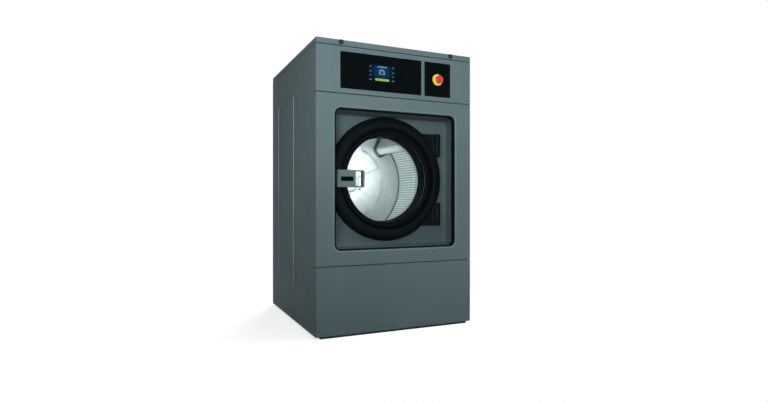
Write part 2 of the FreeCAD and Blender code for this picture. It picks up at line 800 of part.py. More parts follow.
# Wash drum: rolled shell, back plate, three hollow lifters, spider, shaft and pulley
drum_front, drum_back = at(dim.drum_front), at(dim.drum_back)
drum_inner = dim.drum_radius - dim.drum_sheet
lip_radius = dim.mouth_radius + dim.drum_sheet
drum_shell = new_body("drum_shell", z=dim.axis_height)
spin(drum_shell, [(drum_front, dim.mouth_radius), (drum_front, dim.drum_radius),
                  (drum_back, dim.drum_radius), (drum_back, drum_inner),
                  (drum_front + dim.drum_sheet, drum_inner), (drum_front + dim.drum_sheet, lip_radius),
                  (drum_front + dim.mouth_lip, lip_radius), (drum_front + dim.mouth_lip, dim.mouth_radius)])
drum_rear_plate = new_body("drum_back", z=dim.axis_height)
plate_front = drum_back - dim.drum_back_plate
tube(drum_rear_plate, plate_front, drum_back, dim.shaft_radius, drum_inner - dim.fit_gap)
LIFTERS = 3
LIFTER_START = 45
drum_lifters = new_body("drum_lifters", z=dim.axis_height)
lifter_rim = drum_inner - dim.fit_gap
lifter_seat = root(lifter_rim * lifter_rim - dim.lifter_base * dim.lifter_base / 4)
lifter_front = drum_front + dim.lifter_setback
lifter_top = lifter_seat - dim.lifter_height
for step in range(LIFTERS):
    angle = math.radians(LIFTER_START + step * 360 / LIFTERS)
    out_x, out_z = math.cos(angle), math.sin(angle)
    for inset, feature, begin in ((as_size(0), pad, lifter_front),
                                  (dim.drum_sheet, pocket, lifter_front + dim.drum_sheet)):
        half_base, half_crown = dim.lifter_base / 2 - 2 * inset, dim.lifter_crown / 2 - inset
        profile = [(lifter_seat - inset, -half_base), (lifter_seat - inset, half_base),
                   (lifter_top + inset, half_crown), (lifter_top + inset, -half_crown)]
        corners = [(reach * out_x - across * out_z, reach * out_z + across * out_x)
                   for reach, across in profile]
        feature(drum_lifters, "XZ", [corners], begin, plate_front)
SPIDER_ARMS = 3
drum_spider = new_body("drum_spider", z=dim.axis_height)
spider_back = drum_back + dim.spider_depth
pad(drum_spider, "XZ", [(0, 0, dim.spider_hub_radius)], drum_back, spider_back)
for step in range(SPIDER_ARMS):
    angle = math.radians(90 + step * 360 / SPIDER_ARMS)
    out_x, out_z = math.cos(angle), math.sin(angle)
    profile = [(as_size(0), -dim.spider_arm_width / 2), (dim.spider_arm_reach, -dim.spider_arm_width / 2),
               (dim.spider_arm_reach, dim.spider_arm_width / 2), (as_size(0), dim.spider_arm_width / 2)]
    corners = [(reach * out_x - across * out_z, reach * out_z + across * out_x) for reach, across in profile]
    pad(drum_spider, "XZ", [corners], drum_back, spider_back)
pocket(drum_spider, "XZ", [(0, 0, dim.shaft_radius)], drum_back, spider_back)
pulley_front = at(dim.pulley_front)
pulley_back = pulley_front + dim.pulley_width
drum_shaft = new_body("drum_shaft", z=dim.axis_height)
pad(drum_shaft, "XZ", [(0, 0, dim.shaft_radius)], plate_front, pulley_back)
drum_pulley = new_body("drum_pulley", z=dim.axis_height)
rim_inner = dim.drum_pulley_radius - dim.drum_pulley_rim
web_front = pulley_front + (dim.pulley_width - dim.drum_pulley_web) / 2
web_back = web_front + dim.drum_pulley_web
spin(drum_pulley, [(pulley_front, dim.shaft_radius), (pulley_front, dim.drum_pulley_hub),
                   (web_front, dim.drum_pulley_hub), (web_front, rim_inner), (pulley_front, rim_inner),
                   (pulley_front, dim.drum_pulley_radius), (pulley_back, dim.drum_pulley_radius),
                   (pulley_back, rim_inner), (web_back, rim_inner), (web_back, dim.drum_pulley_hub),
                   (pulley_back, dim.drum_pulley_hub), (pulley_back, dim.shaft_radius)])

# Drive motor on its bracket, with the rotor and pulley that turn in it
motor_front = at(dim.motor_front)
motor_back = motor_front + dim.motor_length
stator_radius = dim.motor_radius - dim.motor_wall
rotor_hole = dim.motor_shaft_radius + dim.running_gap
motor_housing = new_body("motor_housing", dim.motor_x, dim.motor_z)
spin(motor_housing, [(motor_front, 0), (motor_front, dim.motor_radius), (motor_back, dim.motor_radius),
                     (motor_back, rotor_hole), (motor_back - dim.motor_end, rotor_hole),
                     (motor_back - dim.motor_end, stator_radius),
                     (motor_front + dim.motor_end, stator_radius), (motor_front + dim.motor_end, 0)])
motor_rotor = new_body("motor_rotor", dim.motor_x, dim.motor_z)
core_front = motor_front + dim.motor_end + dim.running_gap
core_back = motor_back - dim.motor_end - dim.running_gap
core_radius = stator_radius - dim.running_gap
spin(motor_rotor, [(core_front, 0), (core_front, core_radius), (core_back, core_radius),
                   (core_back, dim.motor_shaft_radius), (pulley_back, dim.motor_shaft_radius),
                   (pulley_back, 0)])
motor_pulley = new_body("motor_pulley", dim.motor_x, dim.motor_z)
tube(motor_pulley, pulley_front, pulley_back, dim.motor_shaft_radius, dim.motor_pulley_radius)
motor_bracket = new_body("motor_bracket")
bracket_left = dim.motor_x - dim.motor_bracket_width / 2
bracket_right = dim.motor_x + dim.motor_bracket_width / 2
plate_top = dim.base_height + dim.motor_bracket_plate
pad(motor_bracket, "XY",
    [rectangle(bracket_left, bracket_right, dim.rear_cradle_y + dim.cradle_thickness,
               inside_back - dim.rail_width / 2)],
    dim.base_height, plate_top)
pad(motor_bracket, "XY",
    [rectangle(bracket_left, bracket_right, motor_front + dim.motor_end, motor_back - dim.motor_end)],
    plate_top, dim.motor_z)
pocket(motor_bracket, "XZ", [(dim.motor_x, dim.motor_z, dim.motor_radius + dim.fit_gap)],
       motor_front, motor_back)

# Drive belt: a flat loop round both pulleys, drawn from their sizes with tangent runs
def belt_face(grow):
    """The belt's outline in the XZ plane, moved outwards from the pulleys by grow."""
    reach_x = dim.motor_x.value
    reach_z = dim.motor_z.value - dim.axis_height.value
    span = math.hypot(reach_x, reach_z)
    big = dim.drum_pulley_radius.value + grow
    small = dim.motor_pulley_radius.value + grow
    heading = math.atan2(reach_z, reach_x)
    lean = math.acos((big - small) / span)
    drum_centre = FreeCAD.Vector(0, 0, dim.axis_height.value)
    motor_centre = FreeCAD.Vector(dim.motor_x.value, 0, dim.motor_z.value)

    def touch(centre, radius, angle):
        return centre + FreeCAD.Vector(math.cos(angle), 0, math.sin(angle)) * radius

    big_a, big_b = touch(drum_centre, big, heading + lean), touch(drum_centre, big, heading - lean)
    small_a, small_b = touch(motor_centre, small, heading + lean), touch(motor_centre, small, heading - lean)
    far_big = touch(drum_centre, big, heading + math.pi)
    far_small = touch(motor_centre, small, heading)
    edges = [Part.LineSegment(big_a, small_a), Part.Arc(small_a, far_small, small_b),
             Part.LineSegment(small_b, big_b), Part.Arc(big_b, far_big, big_a)]
    return Part.Face(Part.Wire([edge.toShape() for edge in edges]))


drive_belt = doc.addObject("Part::Feature", "drive_belt")
drive_belt.Label = "drive_belt"
belt_inner = dim.running_gap.value
belt_ring = belt_face(belt_inner + dim.belt_thickness.value).cut(belt_face(belt_inner))
belt_solid = belt_ring.extrude(FreeCAD.Vector(0, dim.belt_width.value, 0))
drive_belt.Shape = belt_solid.Solids[0]
drive_belt.setExpression("Placement.Base.y", (pulley_front + (dim.pulley_width - dim.belt_width) / 2).text)
subparts.append(drive_belt)

# Inverter that drives the motor, standing on the base
inverter_box = new_body("inverter_box")
inverter_front = at(dim.inverter_front)
pad(inverter_box, "XY",
    [rectangle(-dim.inverter_left, -dim.inverter_left + dim.inverter_width,
               inverter_front, inverter_front + dim.inverter_depth)],
    dim.base_height, dim.base_height + dim.inverter_height)

# Mains terminal box and its cable gland in the back panel
fitting_end = back + dim.stand_out
half_box = dim.terminal_size / 2
terminal_box = new_body("terminal_box", terminal_x, terminal_z)
pad(terminal_box, "XZ", [rectangle(-half_box, half_box, -half_box, half_box)],
    inside_back - dim.terminal_depth, inside_back)
pocket(terminal_box, "XZ",
       [rectangle(-half_box + dim.box_wall, half_box - dim.box_wall,
                  -half_box + dim.box_wall, half_box - dim.box_wall)],
       inside_back - dim.terminal_depth + dim.box_wall, inside_back)
cable_gland = new_body("cable_gland", terminal_x, terminal_z)
spin(cable_gland, [(inside_back - dim.stand_out, dim.gland_bore), (fitting_end, dim.gland_bore),
                   (fitting_end, dim.gland_radius), (fitting_end - dim.pipe_wall, dim.gland_nut_radius),
                   (back, dim.gland_nut_radius), (back, dim.gland_radius),
                   (inside_back - dim.stand_out, dim.gland_radius)])

# Vent pipe from the top of the tub's back wall out through the back panel
vent_pipe = new_body("vent_pipe", dim.vent_x, vent_z)
vent_bore = dim.vent_radius - dim.pipe_wall
vent_neck = dim.vent_radius - dim.neck_step
spin(vent_pipe, [(tub_back, vent_bore), (fitting_end, vent_bore), (fitting_end, dim.vent_radius),
                 (back, dim.vent_radius), (back, vent_neck), (tub_back, vent_neck)])

# Inlet valves: two solenoid bodies on stubs of the tub's back wall, with threaded hose ends outside
inlet_valves = new_body("inlet_valves")
half_body = dim.inlet_body_size / 2
stub_end = tub_back + dim.inlet_stub
for x, z in inlet_places:
    pad(inlet_valves, "XZ", [(x, z, dim.inlet_stub_radius)], tub_back, stub_end)
    pad(inlet_valves, "XZ", [rectangle(x - half_body, x + half_body, z - half_body, z + half_body)],
        stub_end, inside_back)
    pad(inlet_valves, "XZ", [(x, z, dim.inlet_radius - dim.neck_step)], inside_back, back)
    pad(inlet_valves, "XZ", [(x, z, dim.inlet_radius)], back, fitting_end)
pocket(inlet_valves, "XZ", [(x, z, dim.inlet_bore) for x, z in inlet_places], tub_back, fitting_end)

# Drain: an elbow from the tub's spigot, a butterfly valve and a straight outlet at the back
drain_valve_front = dim.drain_valve_y
drain_valve_back = drain_valve_front + dim.drain_valve_length
drain_top = dim.axis_height + spigot_bottom
drain_elbow = new_body("drain_elbow")
elbow_path = sketch_on(drain_elbow, "YZ", 0)
bend_y, bend_z = dim.drain_y + dim.drain_bend, dim.drain_z + dim.drain_bend
path_stops = [(dim.drain_y, drain_top), (dim.drain_y, bend_z), (bend_y, dim.drain_z),
              (drain_valve_front, dim.drain_z)]
path_points = [FreeCAD.Vector(y.value, z.value, 0) for y, z in path_stops]
bend_centre = FreeCAD.Vector(bend_y.value, bend_z.value, 0)
bend_middle = bend_centre + FreeCAD.Vector(-1, -1, 0).normalize() * dim.drain_bend.value
down = elbow_path.addGeometry(Part.LineSegment(path_points[0], path_points[1]))
turn = elbow_path.addGeometry(Part.Arc(path_points[1], bend_middle, path_points[2]))
out = elbow_path.addGeometry(Part.LineSegment(path_points[2], path_points[3]))
elbow_path.addConstraint(Sketcher.Constraint("Coincident", down, 2, turn, 1))
elbow_path.addConstraint(Sketcher.Constraint("Coincident", turn, 2, out, 1))
for geometry, end, (y, z) in zip((down, down, out, out), (1, 2, 1, 2), path_stops):
    pin_point(elbow_path, geometry, end, y, z)
pin_radius(elbow_path, turn, dim.drain_bend)
elbow_section = sketch_on(drain_elbow, "XY", drain_top)
draw_loops(elbow_section, [(0, dim.drain_y, dim.drain_radius), (0, dim.drain_y, drain_bore)])
elbow_pipe = drain_elbow.newObject("PartDesign::AdditivePipe", "drain_elbow_pipe")
elbow_pipe.Profile = elbow_section
elbow_pipe.Spine = elbow_path
disc_middle = drain_valve_front + dim.drain_valve_length / 2
drain_valve_body = new_body("drain_valve_body", z=dim.drain_z)
spin(drain_valve_body, [(drain_valve_front, drain_bore), (fitting_end, drain_bore),
                        (fitting_end, dim.drain_radius), (back, dim.drain_radius),
                        (back, dim.drain_radius - dim.neck_step),
                        (drain_valve_back, dim.drain_radius - dim.neck_step),
                        (drain_valve_back, dim.drain_valve_radius),
                        (drain_valve_front, dim.drain_valve_radius)])
spindle_hole = dim.drain_spindle_radius + dim.running_gap
pocket(drain_valve_body, "XY", [(0, disc_middle, spindle_hole)], 0, dim.drain_valve_radius)
room_under_tub = dim.axis_height - tub_radius - dim.drain_z - dim.drain_valve_radius
actuator_height = room_under_tub * dim.drain_actuator_share
spindle_top = dim.drain_valve_radius + actuator_height / 2
drain_disc = new_body("drain_disc", z=dim.drain_z)
pad(drain_disc, "XZ", [(0, 0, drain_bore - dim.running_gap)],
    disc_middle - dim.drain_disc_thickness / 2, disc_middle + dim.drain_disc_thickness / 2)
pad(drain_disc, "XY", [(0, disc_middle, dim.drain_spindle_radius)], 0, spindle_top)
drain_actuator = new_body("drain_actuator", z=dim.drain_z)
half_actuator = dim.drain_actuator_size / 2
pad(drain_actuator, "XY",
    [rectangle(-half_actuator, half_actuator, disc_middle - half_actuator, disc_middle + half_actuator)],
    dim.drain_valve_radius, dim.drain_valve_radius + actuator_height)
pocket(drain_actuator, "XY", [(0, disc_middle, spindle_hole)],
       dim.drain_valve_radius, spindle_top + dim.running_gap)

# Door frame: the flat ring that carries the glass, with a slot for the latch tongue
door_frame_front = at(dim.door_frame_front)
door_tongue_slot = rectangle(*latch_slot, -dim.tongue_height, dim.tongue_height)
door_frame = new_body("door_frame", z=dim.axis_height)
pad(door_frame, "XZ", [(0, 0, dim.door_frame_outer), (0, 0, dim.door_frame_inner)],
    door_frame_front, door_back)
pocket(door_frame, "XZ", [door_tongue_slot], door_frame_front, door_back)

# Door ring: the domed black moulding with two hinge ears on its right
door_ring = new_body("door_ring", z=dim.axis_height)
skin = dim.ring_wall
spin(door_ring, [(at(dim.ring_back), dim.ring_radius), (at(dim.ring_edge), dim.ring_radius),
                 (at(dim.ring_shoulder), dim.ring_shoulder_radius),
                 (at(dim.ring_crest), dim.ring_crest_radius),
                 (at(dim.ring_crest), dim.ring_inner_radius + skin / 2),
                 (at(dim.ring_crest) + skin / 2, dim.ring_inner_radius),
                 (door_frame_front, dim.ring_inner_radius), (door_frame_front, dim.ring_inner_radius + skin),
                 (at(dim.ring_crest) + skin, dim.ring_inner_radius + skin),
                 (at(dim.ring_crest) + skin, dim.ring_crest_radius - skin / 2),
                 (at(dim.ring_shoulder) + skin, dim.ring_shoulder_radius - skin),
                 (at(dim.ring_edge) + skin / 2, dim.ring_radius - skin),
                 (at(dim.ring_back), dim.ring_radius - skin)])
ear_back = door_frame_front - dim.running_gap
knuckle_y = at(dim.hinge_depth)
knuckle_slot = dim.knuckle_radius + dim.gasket_gap
ear_right = dim.hinge_x + dim.knuckle_cover
for sign in (-1, 1):
    ear_low, ear_high = sorted((sign * dim.ear_inner, sign * dim.ear_outer), key=lambda edge: edge.value)
    pad(door_ring, "XZ", [rectangle(dim.mouth_radius, ear_right, ear_low, ear_high)],
        at(dim.ear_front), ear_back)
    pad(door_ring, "XY", [(dim.hinge_x, knuckle_y, dim.knuckle_cover)], ear_low, ear_high)
    slot_low, slot_high = ear_low + dim.ear_wall, ear_high - dim.ear_wall
    pocket(door_ring, "XY",
           [rectangle(dim.hinge_x - dim.knuckle_cover, dim.ring_radius + dim.knuckle_cover,
                      knuckle_y - knuckle_slot, at(dim.ring_back))], slot_low, slot_high)
    pocket(door_ring, "XY", [(dim.hinge_x, knuckle_y, dim.hinge_pin_radius + dim.running_gap)],
           ear_low, ear_high)
pocket(door_ring, "XZ", [(0, 0, dim.ring_inner_radius)], at(dim.ring_crest), door_frame_front)
half_latch = dim.latch_height / 2
pocket(door_ring, "XZ",
       [rectangle(-dim.latch_left - dim.running_gap, -dim.latch_right + dim.ring_wall,
                  -half_latch - dim.running_gap, half_latch + dim.running_gap)],
       at(dim.ring_crest), door_frame_front)

# Glass bezel, glass bowl and the rubber seal round its flange
bezel_back = door_frame_front - dim.glass_thickness - dim.running_gap
seal_radius = dim.glass_flange_radius + dim.glass_thickness
glass_bezel = new_body("glass_bezel", z=dim.axis_height)
bezel_outer = dim.ring_inner_radius - dim.running_gap
seal_clear = seal_radius + dim.running_gap
spin(glass_bezel, [(at(dim.bezel_lip), dim.bezel_lip_radius), (at(dim.bezel_ridge), dim.bezel_ridge_radius),
                   (at(dim.bezel_ridge), seal_clear), (bezel_back, seal_clear + dim.bezel_wall),
                   (bezel_back, bezel_outer), (door_frame_front, bezel_outer),
                   (door_frame_front, seal_clear), (bezel_back, seal_clear),
                   (bezel_back, dim.bezel_lip_radius)])
glass_front = door_frame_front - dim.glass_thickness
door_glass = new_body("door_glass", z=dim.axis_height)
glass_floor = at(dim.glass_floor)
thick = dim.glass_thickness
spin(door_glass, [(glass_front, dim.glass_throat_radius), (glass_floor, dim.glass_floor_radius),
                  (glass_floor + dim.glass_dome, 0), (glass_floor + dim.glass_dome + thick, 0),
                  (glass_floor + thick, dim.glass_floor_radius + thick),
                  (door_frame_front, dim.glass_throat_radius + thick),
                  (door_frame_front, dim.glass_flange_radius), (glass_front, dim.glass_flange_radius)])
glass_seal = new_body("glass_seal", z=dim.axis_height)
tube(glass_seal, glass_front, door_frame_front, dim.glass_flange_radius + dim.fit_gap, seal_radius)

# Hinge brackets on the recess pan, each with a knuckle inside an ear of the door ring, and their pins
hinge_brackets = new_body("hinge_brackets", z=dim.axis_height)
hinge_pins = new_body("hinge_pins", z=dim.axis_height)
half_bracket = dim.bracket_width / 2
for sign in (-1, 1):
    ear_low, ear_high = sorted((sign * dim.ear_inner, sign * dim.ear_outer), key=lambda edge: edge.value)
    low = ear_low + dim.ear_wall + dim.gasket_gap
    high = ear_high - dim.ear_wall - dim.gasket_gap
    pad(hinge_brackets, "XY", [(dim.hinge_x, knuckle_y, dim.knuckle_radius)], low, high)
    pad(hinge_brackets, "XY", [rectangle(dim.hinge_x - half_bracket, dim.hinge_x + half_bracket,
                                         knuckle_y, at(dim.pan_depth))], low, high)
    pocket(hinge_brackets, "XY", [(dim.hinge_x, knuckle_y, dim.hinge_pin_radius)], low, high)
    pad(hinge_pins, "XY", [(dim.hinge_x, knuckle_y, dim.hinge_pin_radius)], ear_low, ear_high)

# Latch housing, seated on the door frame through a window in the ring, and the handle's pin
latch_housing = new_body("latch_housing", z=dim.axis_height)
latch_front, latch_axis = at(dim.latch_front), at(dim.latch_depth)
pad(latch_housing, "XZ", [rectangle(-dim.latch_left, -dim.latch_right, -half_latch, half_latch)],
    latch_front, door_frame_front)
slot_half = half_latch - dim.latch_wall
pocket(latch_housing, "XZ",
       [rectangle(-dim.latch_x - dim.latch_ear_half - dim.latch_pin_radius,
                  -dim.latch_right - dim.latch_pin_radius, -slot_half, slot_half)],
       latch_front, door_frame_front)
pocket(latch_housing, "XY", [(-dim.latch_x, latch_axis, dim.latch_pin_radius)], -half_latch, half_latch)
handle_pin = new_body("handle_pin", z=dim.axis_height)
pad(handle_pin, "XY", [(-dim.latch_x, latch_axis, dim.latch_pin_radius)], -half_latch, half_latch)

# Door handle: a plate with a finger window, two ears on the pin and the latch tongue
door_handle = new_body("door_handle", z=dim.axis_height)
handle_front = at(dim.handle_front)
handle_back = handle_front + dim.handle_thickness
handle_low = -dim.handle_height / 2 - dim.handle_drop
handle_high = dim.handle_height / 2 - dim.handle_drop
handle_right = -dim.handle_left + dim.handle_width
window_right = handle_right - dim.handle_grip
pad(door_handle, "XZ", [rectangle(-dim.handle_left, handle_right, handle_low, handle_high),
                        rectangle(window_right - dim.window_width, window_right,
                                  handle_low + dim.window_margin, handle_high - dim.window_margin)],
    handle_front, handle_back)
ear_reach = latch_axis + dim.latch_ear_half
for sign in (-1, 1):
    ear_tip = sign * (slot_half - dim.running_gap)
    ear_root = sign * (slot_half - dim.running_gap - dim.latch_ear_height)
    low, high = sorted((ear_tip, ear_root), key=lambda edge: edge.value)
    pad(door_handle, "XY", [rectangle(-dim.latch_x - dim.latch_ear_half, -dim.latch_x + dim.latch_ear_half,
                                      handle_back, ear_reach)], low, high)
half_tongue = dim.tongue_height / 2
tongue_left = -dim.latch_x - dim.tongue_left
pad(door_handle, "XY", [rectangle(tongue_left, tongue_left + dim.tongue_width,
                                  handle_back, at(dim.tongue_tip))], -half_tongue, half_tongue)
pocket(door_handle, "XY", [(-dim.latch_x, latch_axis, dim.latch_pin_radius + dim.running_gap)],
       -half_latch, half_latch)

# Door lock behind the recess pan, with a slot that takes the latch tongue
door_lock = new_body("door_lock", z=dim.axis_height)
lock_back = pan_back + dim.lock_depth
pad(door_lock, "XZ",
    [rectangle(latch_slot[0] - dim.lock_margin, latch_slot[1] + dim.lock_wall,
               -dim.tongue_height - dim.lock_margin, dim.tongue_height + dim.lock_margin)],
    pan_back, lock_back)
pocket(door_lock, "XZ", [door_tongue_slot], pan_back, lock_back - dim.box_wall)

# Every feature has to hold, and every sub-part has to be a valid shape, before the files are written
doc.recompute()
failed = [item.Label for item in doc.Objects if {"Invalid", "Error"} & set(item.State)]
failed += [item.Label for item in subparts if item.Shape.isNull() or not item.Shape.isValid()]
if failed:
    raise RuntimeError(f"features that failed: {sorted(set(failed))}")
os.makedirs("parts", exist_ok=True)
for item in subparts:
    item.Shape.exportStep(f"parts/{item.Label}.step")
print(len(subparts), "sub-parts")
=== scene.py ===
from math import atan2, cos, hypot, pi, radians, sin, sqrt

import bmesh
import bpy
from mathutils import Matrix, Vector


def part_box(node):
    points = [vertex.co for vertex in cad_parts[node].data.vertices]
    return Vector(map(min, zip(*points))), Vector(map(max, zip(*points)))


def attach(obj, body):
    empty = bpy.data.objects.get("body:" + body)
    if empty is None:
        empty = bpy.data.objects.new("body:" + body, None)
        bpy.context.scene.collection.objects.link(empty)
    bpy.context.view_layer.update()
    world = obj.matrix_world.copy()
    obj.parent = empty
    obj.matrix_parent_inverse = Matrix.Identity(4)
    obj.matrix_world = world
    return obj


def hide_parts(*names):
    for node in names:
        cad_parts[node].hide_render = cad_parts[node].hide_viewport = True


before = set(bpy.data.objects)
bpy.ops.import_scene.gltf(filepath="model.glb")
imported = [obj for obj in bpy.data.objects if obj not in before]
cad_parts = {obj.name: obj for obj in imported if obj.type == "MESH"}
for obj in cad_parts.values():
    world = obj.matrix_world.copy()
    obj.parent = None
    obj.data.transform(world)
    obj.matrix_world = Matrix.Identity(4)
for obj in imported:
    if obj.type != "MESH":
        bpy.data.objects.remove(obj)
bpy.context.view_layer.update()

# Welded frame: plinth and channel rails, corner posts, top ring, tub saddles and motor bracket.
# Mild steel tube and plate, welded, then sprayed with a dark satin paint that stays a little uneven.


def add_node(tree, kind, values=(), feeds=()):
    """A shader node with its constants set and its other sockets fed by other nodes."""
    node = tree.nodes.new("ShaderNode" + kind)
    for socket, value in dict(values).items():
        node.inputs[socket].default_value = value
    for socket, source in dict(feeds).items():
        tree.links.new(source, node.inputs[socket])
    return node


class Finish:
    """A finish whose tone, gloss and relief follow noise over the machine, in metres."""

    MIDDLE = (0.3, 0.7)

    def __init__(self, name):
        self.material = bpy.data.materials.new(name)
        self.material.use_nodes = True
        self.tree = self.material.node_tree
        self.shader = self.tree.nodes["Principled BSDF"]
        self.place = add_node(self.tree, "TexCoord").outputs["Object"]

    def grain(self, scale, detail, stretch=(1, 1, 1)):
        """Noise over the surface; stretch draws it out into brush lines."""
        place = add_node(self.tree, "Mapping", {"Scale": stretch}, {"Vector": self.place}).outputs["Vector"]
        noise = add_node(self.tree, "TexNoise", {"Scale": scale, "Detail": detail}, {"Vector": place})
        return noise.outputs["Fac"]

    def tone(self, fac, dark, light, socket="Base Color"):
        """Colour from dark to light over the middle of a noise."""
        ramp = add_node(self.tree, "ValToRGB", feeds={"Fac": fac})
        for stop, position, colour in zip(ramp.color_ramp.elements, self.MIDDLE, (dark, light)):
            stop.position = position
            stop.color = (*colour, 1)
        self.tree.links.new(ramp.outputs["Color"], self.shader.inputs[socket])

    def gloss(self, fac, low, high):
        """Roughness from low to high over the middle of a noise."""
        start, end = self.MIDDLE
        spread = {"From Min": start, "From Max": end, "To Min": low, "To Max": high}
        span = add_node(self.tree, "MapRange", spread, {"Value": fac})
        self.tree.links.new(span.outputs["Result"], self.shader.inputs["Roughness"])

    def relief(self, fac, depth):
        """Fine surface relief of that depth in metres."""
        bump = add_node(self.tree, "Bump", {"Strength": 1.0, "Distance": depth}, {"Height": fac})
        self.tree.links.new(bump.outputs["Normal"], self.shader.inputs["Normal"])


def scaled(colour, factor):
    """A colour made darker or lighter."""
    return tuple(min(1.0, part * factor) for part in colour)


def mottled(name, colour, rough, cloud, wear, skin, stretch=(1, 1, 1), metal=0.0, specular=0.5):
    """A finish from three noises, each with its scale and detail: cloud is the darkest and lightest share of
    the colour, wear is what the roughness loses and gains, and skin is the depth of the relief."""
    finish = Finish(name)
    finish.tone(finish.grain(*cloud[:2]), scaled(colour, cloud[2]), scaled(colour, cloud[3]))
    finish.gloss(finish.grain(*wear[:2], stretch), rough - wear[2], rough + wear[3])
    finish.relief(finish.grain(*skin[:2], stretch), skin[2])
    finish.shader.inputs["Metallic"].default_value = metal
    finish.shader.inputs["Specular IOR Level"].default_value = specular
    return finish.material


def sprayed(name, colour, rough, specular):
    """Paint or powder coat: a cloudy tone, uneven gloss and orange peel."""
    return mottled(name, colour, rough, (2.2, 5, 0.95, 1.05), (9, 4, 0.04, 0.05), (330, 2, 0.00012),
                   specular=specular)


def dress(finish, *names):
    """Give the solids of these nodes a finish."""
    for name in names:
        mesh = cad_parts[name].data
        mesh.materials.clear()
        mesh.materials.append(finish)


frame_paint = sprayed("frame_paint", (0.012, 0.014, 0.015), 0.5, 0.2)
dress(frame_paint, "base_frame", "corner_posts", "top_frame", "tub_cradles", "motor_bracket")

# Outer tub with its heaters: rolled stainless sheet, welded along its rims, with rods through the back wall.
# The sheet keeps the mill's brush lines, which run round it.


def brushed(name, colour, rough, draw=0.06, lines=260):
    """Brushed steel; draw is how far its lines are drawn out round the drum's axis."""
    return mottled(name, colour, rough, (6, 4, 0.93, 1.04), (lines, 2, 0.07, 0.08), (lines, 2, 0.00003),
                   (draw, 1, draw), 1.0)


# The tub's stainless is given a dark tone, painted shade for the unlit tub seen through the drum's holes.
tub_steel_painted_shade = brushed("tub_steel_painted_shade", (0.075, 0.085, 0.090), 0.45)
frame_steel = brushed("frame_steel", (0.30, 0.31, 0.32), 0.42)
dress(tub_steel_painted_shade, "outer_tub")
dress(frame_steel, "heating_elements", "drain_disc")

# Bearing housing and spider: an iron casting bolted to the tub's back and an alloy star on the drum.
# Both keep the sandy skin of the mould.


def cast(name, colour, rough, metal, depth):
    """A casting or weld with a sandy skin of that depth."""
    return mottled(name, colour, rough, (14, 4, 0.85, 1.1), (190, 4, 0.08, 0.08), (190, 4, depth),
                   metal=metal)


iron_casting = cast("iron_casting", (0.045, 0.047, 0.05), 0.6, 0.0, 0.0004)
alloy_casting = cast("alloy_casting", (0.5, 0.51, 0.52), 0.45, 1.0, 0.0002)
dress(iron_casting, "bearing_housing")
dress(alloy_casting, "drum_spider", "drum_pulley", "motor_pulley", "motor_housing")

# Bearings, shafts, pins and the control box: turned or bent steel with a thin zinc plating.
# The plating shows a faint spangle.


def plated(name, colour, rough):
    """Bright metal whose tone follows small flat spangles."""
    plating = Finish(name)
    spangle = add_node(plating.tree, "TexVoronoi", {"Scale": 140}, {"Vector": plating.place})
    plating.tone(spangle.outputs["Distance"], scaled(colour, 0.9), scaled(colour, 1.06))
    plating.gloss(plating.grain(60, 3), rough - 0.06, rough + 0.08)
    plating.shader.inputs["Metallic"].default_value = 1.0
    return plating.material


zinc_plate = plated("zinc_plate", (0.55, 0.56, 0.57), 0.36)
dress(zinc_plate, "shaft_bearings", "drum_shaft", "motor_rotor", "control_box", "handle_pin", "hinge_pins")

# Seals and belt: black rubber, moulded or cut from a woven band.
# The rubber is dull, with a fine dusty skin.
black_rubber = mottled("black_rubber", (0.0040, 0.0062, 0.0076), 0.66, (20, 4, 0.8, 1.3), (90, 3, 0.06, 0.06),
                       (700, 2, 0.00008), specular=0.04)
dress(black_rubber, "shaft_seal", "drive_belt", "glass_seal")

# Wash drum shell: stainless sheet punched with close rows of holes, rolled and seamed to a front ring.
# The front ring has a lip rolled inwards round the mouth.
AXIS = 0.705


def placed(name, data):
    """A new object in the scene."""
    thing = bpy.data.objects.new(name, data)
    bpy.context.scene.collection.objects.link(thing)
    return thing


def add_piece(name, shape, finish, body, nodes=(), sharp=35):
    """A piece from the points and faces of a shape, which rides on a body."""
    verts, faces = shape
    mesh = bpy.data.meshes.new(name)
    mesh.from_pydata(verts, [], faces)
    tidy = bmesh.new()
    tidy.from_mesh(mesh)
    bmesh.ops.remove_doubles(tidy, verts=tidy.verts, dist=1e-7)
    bmesh.ops.recalc_face_normals(tidy, faces=tidy.faces)
    tidy.to_mesh(mesh)
    tidy.free()
    mesh.materials.append(finish)
    mesh.shade_smooth()
    mesh.set_sharp_from_angle(angle=radians(sharp))
    piece = placed(name, mesh)
    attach(piece, body)
    if nodes:
        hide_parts(*nodes)
    return piece


def from_y(y, *points):
    """Profile points (radius, y) whose y is measured from a base."""
    return [(radius, y + along) for radius, along in points]


def lofted(loops, ring=False):
    """Points and faces through loops of equal length, closed into a ring or capped at both ends."""
    count = len(loops[0])
    verts = [point for loop in loops for point in loop]
    faces = []
    for step in range(len(loops) if ring else len(loops) - 1):
        near, far = step * count, (step + 1) % len(loops) * count
        for index in range(count):
            after = (index + 1) % count
            faces.append((near + index, near + after, far + after, far + index))
    if not ring:
        faces.append(tuple(range(count)))
        faces.append(tuple((len(loops) - 1) * count + index for index in range(count)))
    return verts, faces


def turned(profile, x=0.0, z=AXIS, steps=128, lobes=None):
    """Points and faces of a closed (radius, y) profile turned about a line along Y."""
    loops = []
    for step in range(steps):
        angle = 2 * pi * step / steps
        loop = []
        for radius, y in profile:
            reach = radius * (1 + (lobes(angle, y) if lobes else 0))
            loop.append((x + reach * cos(angle), y, z + reach * sin(angle)))
        loops.append(loop)
    return lofted(loops, True)


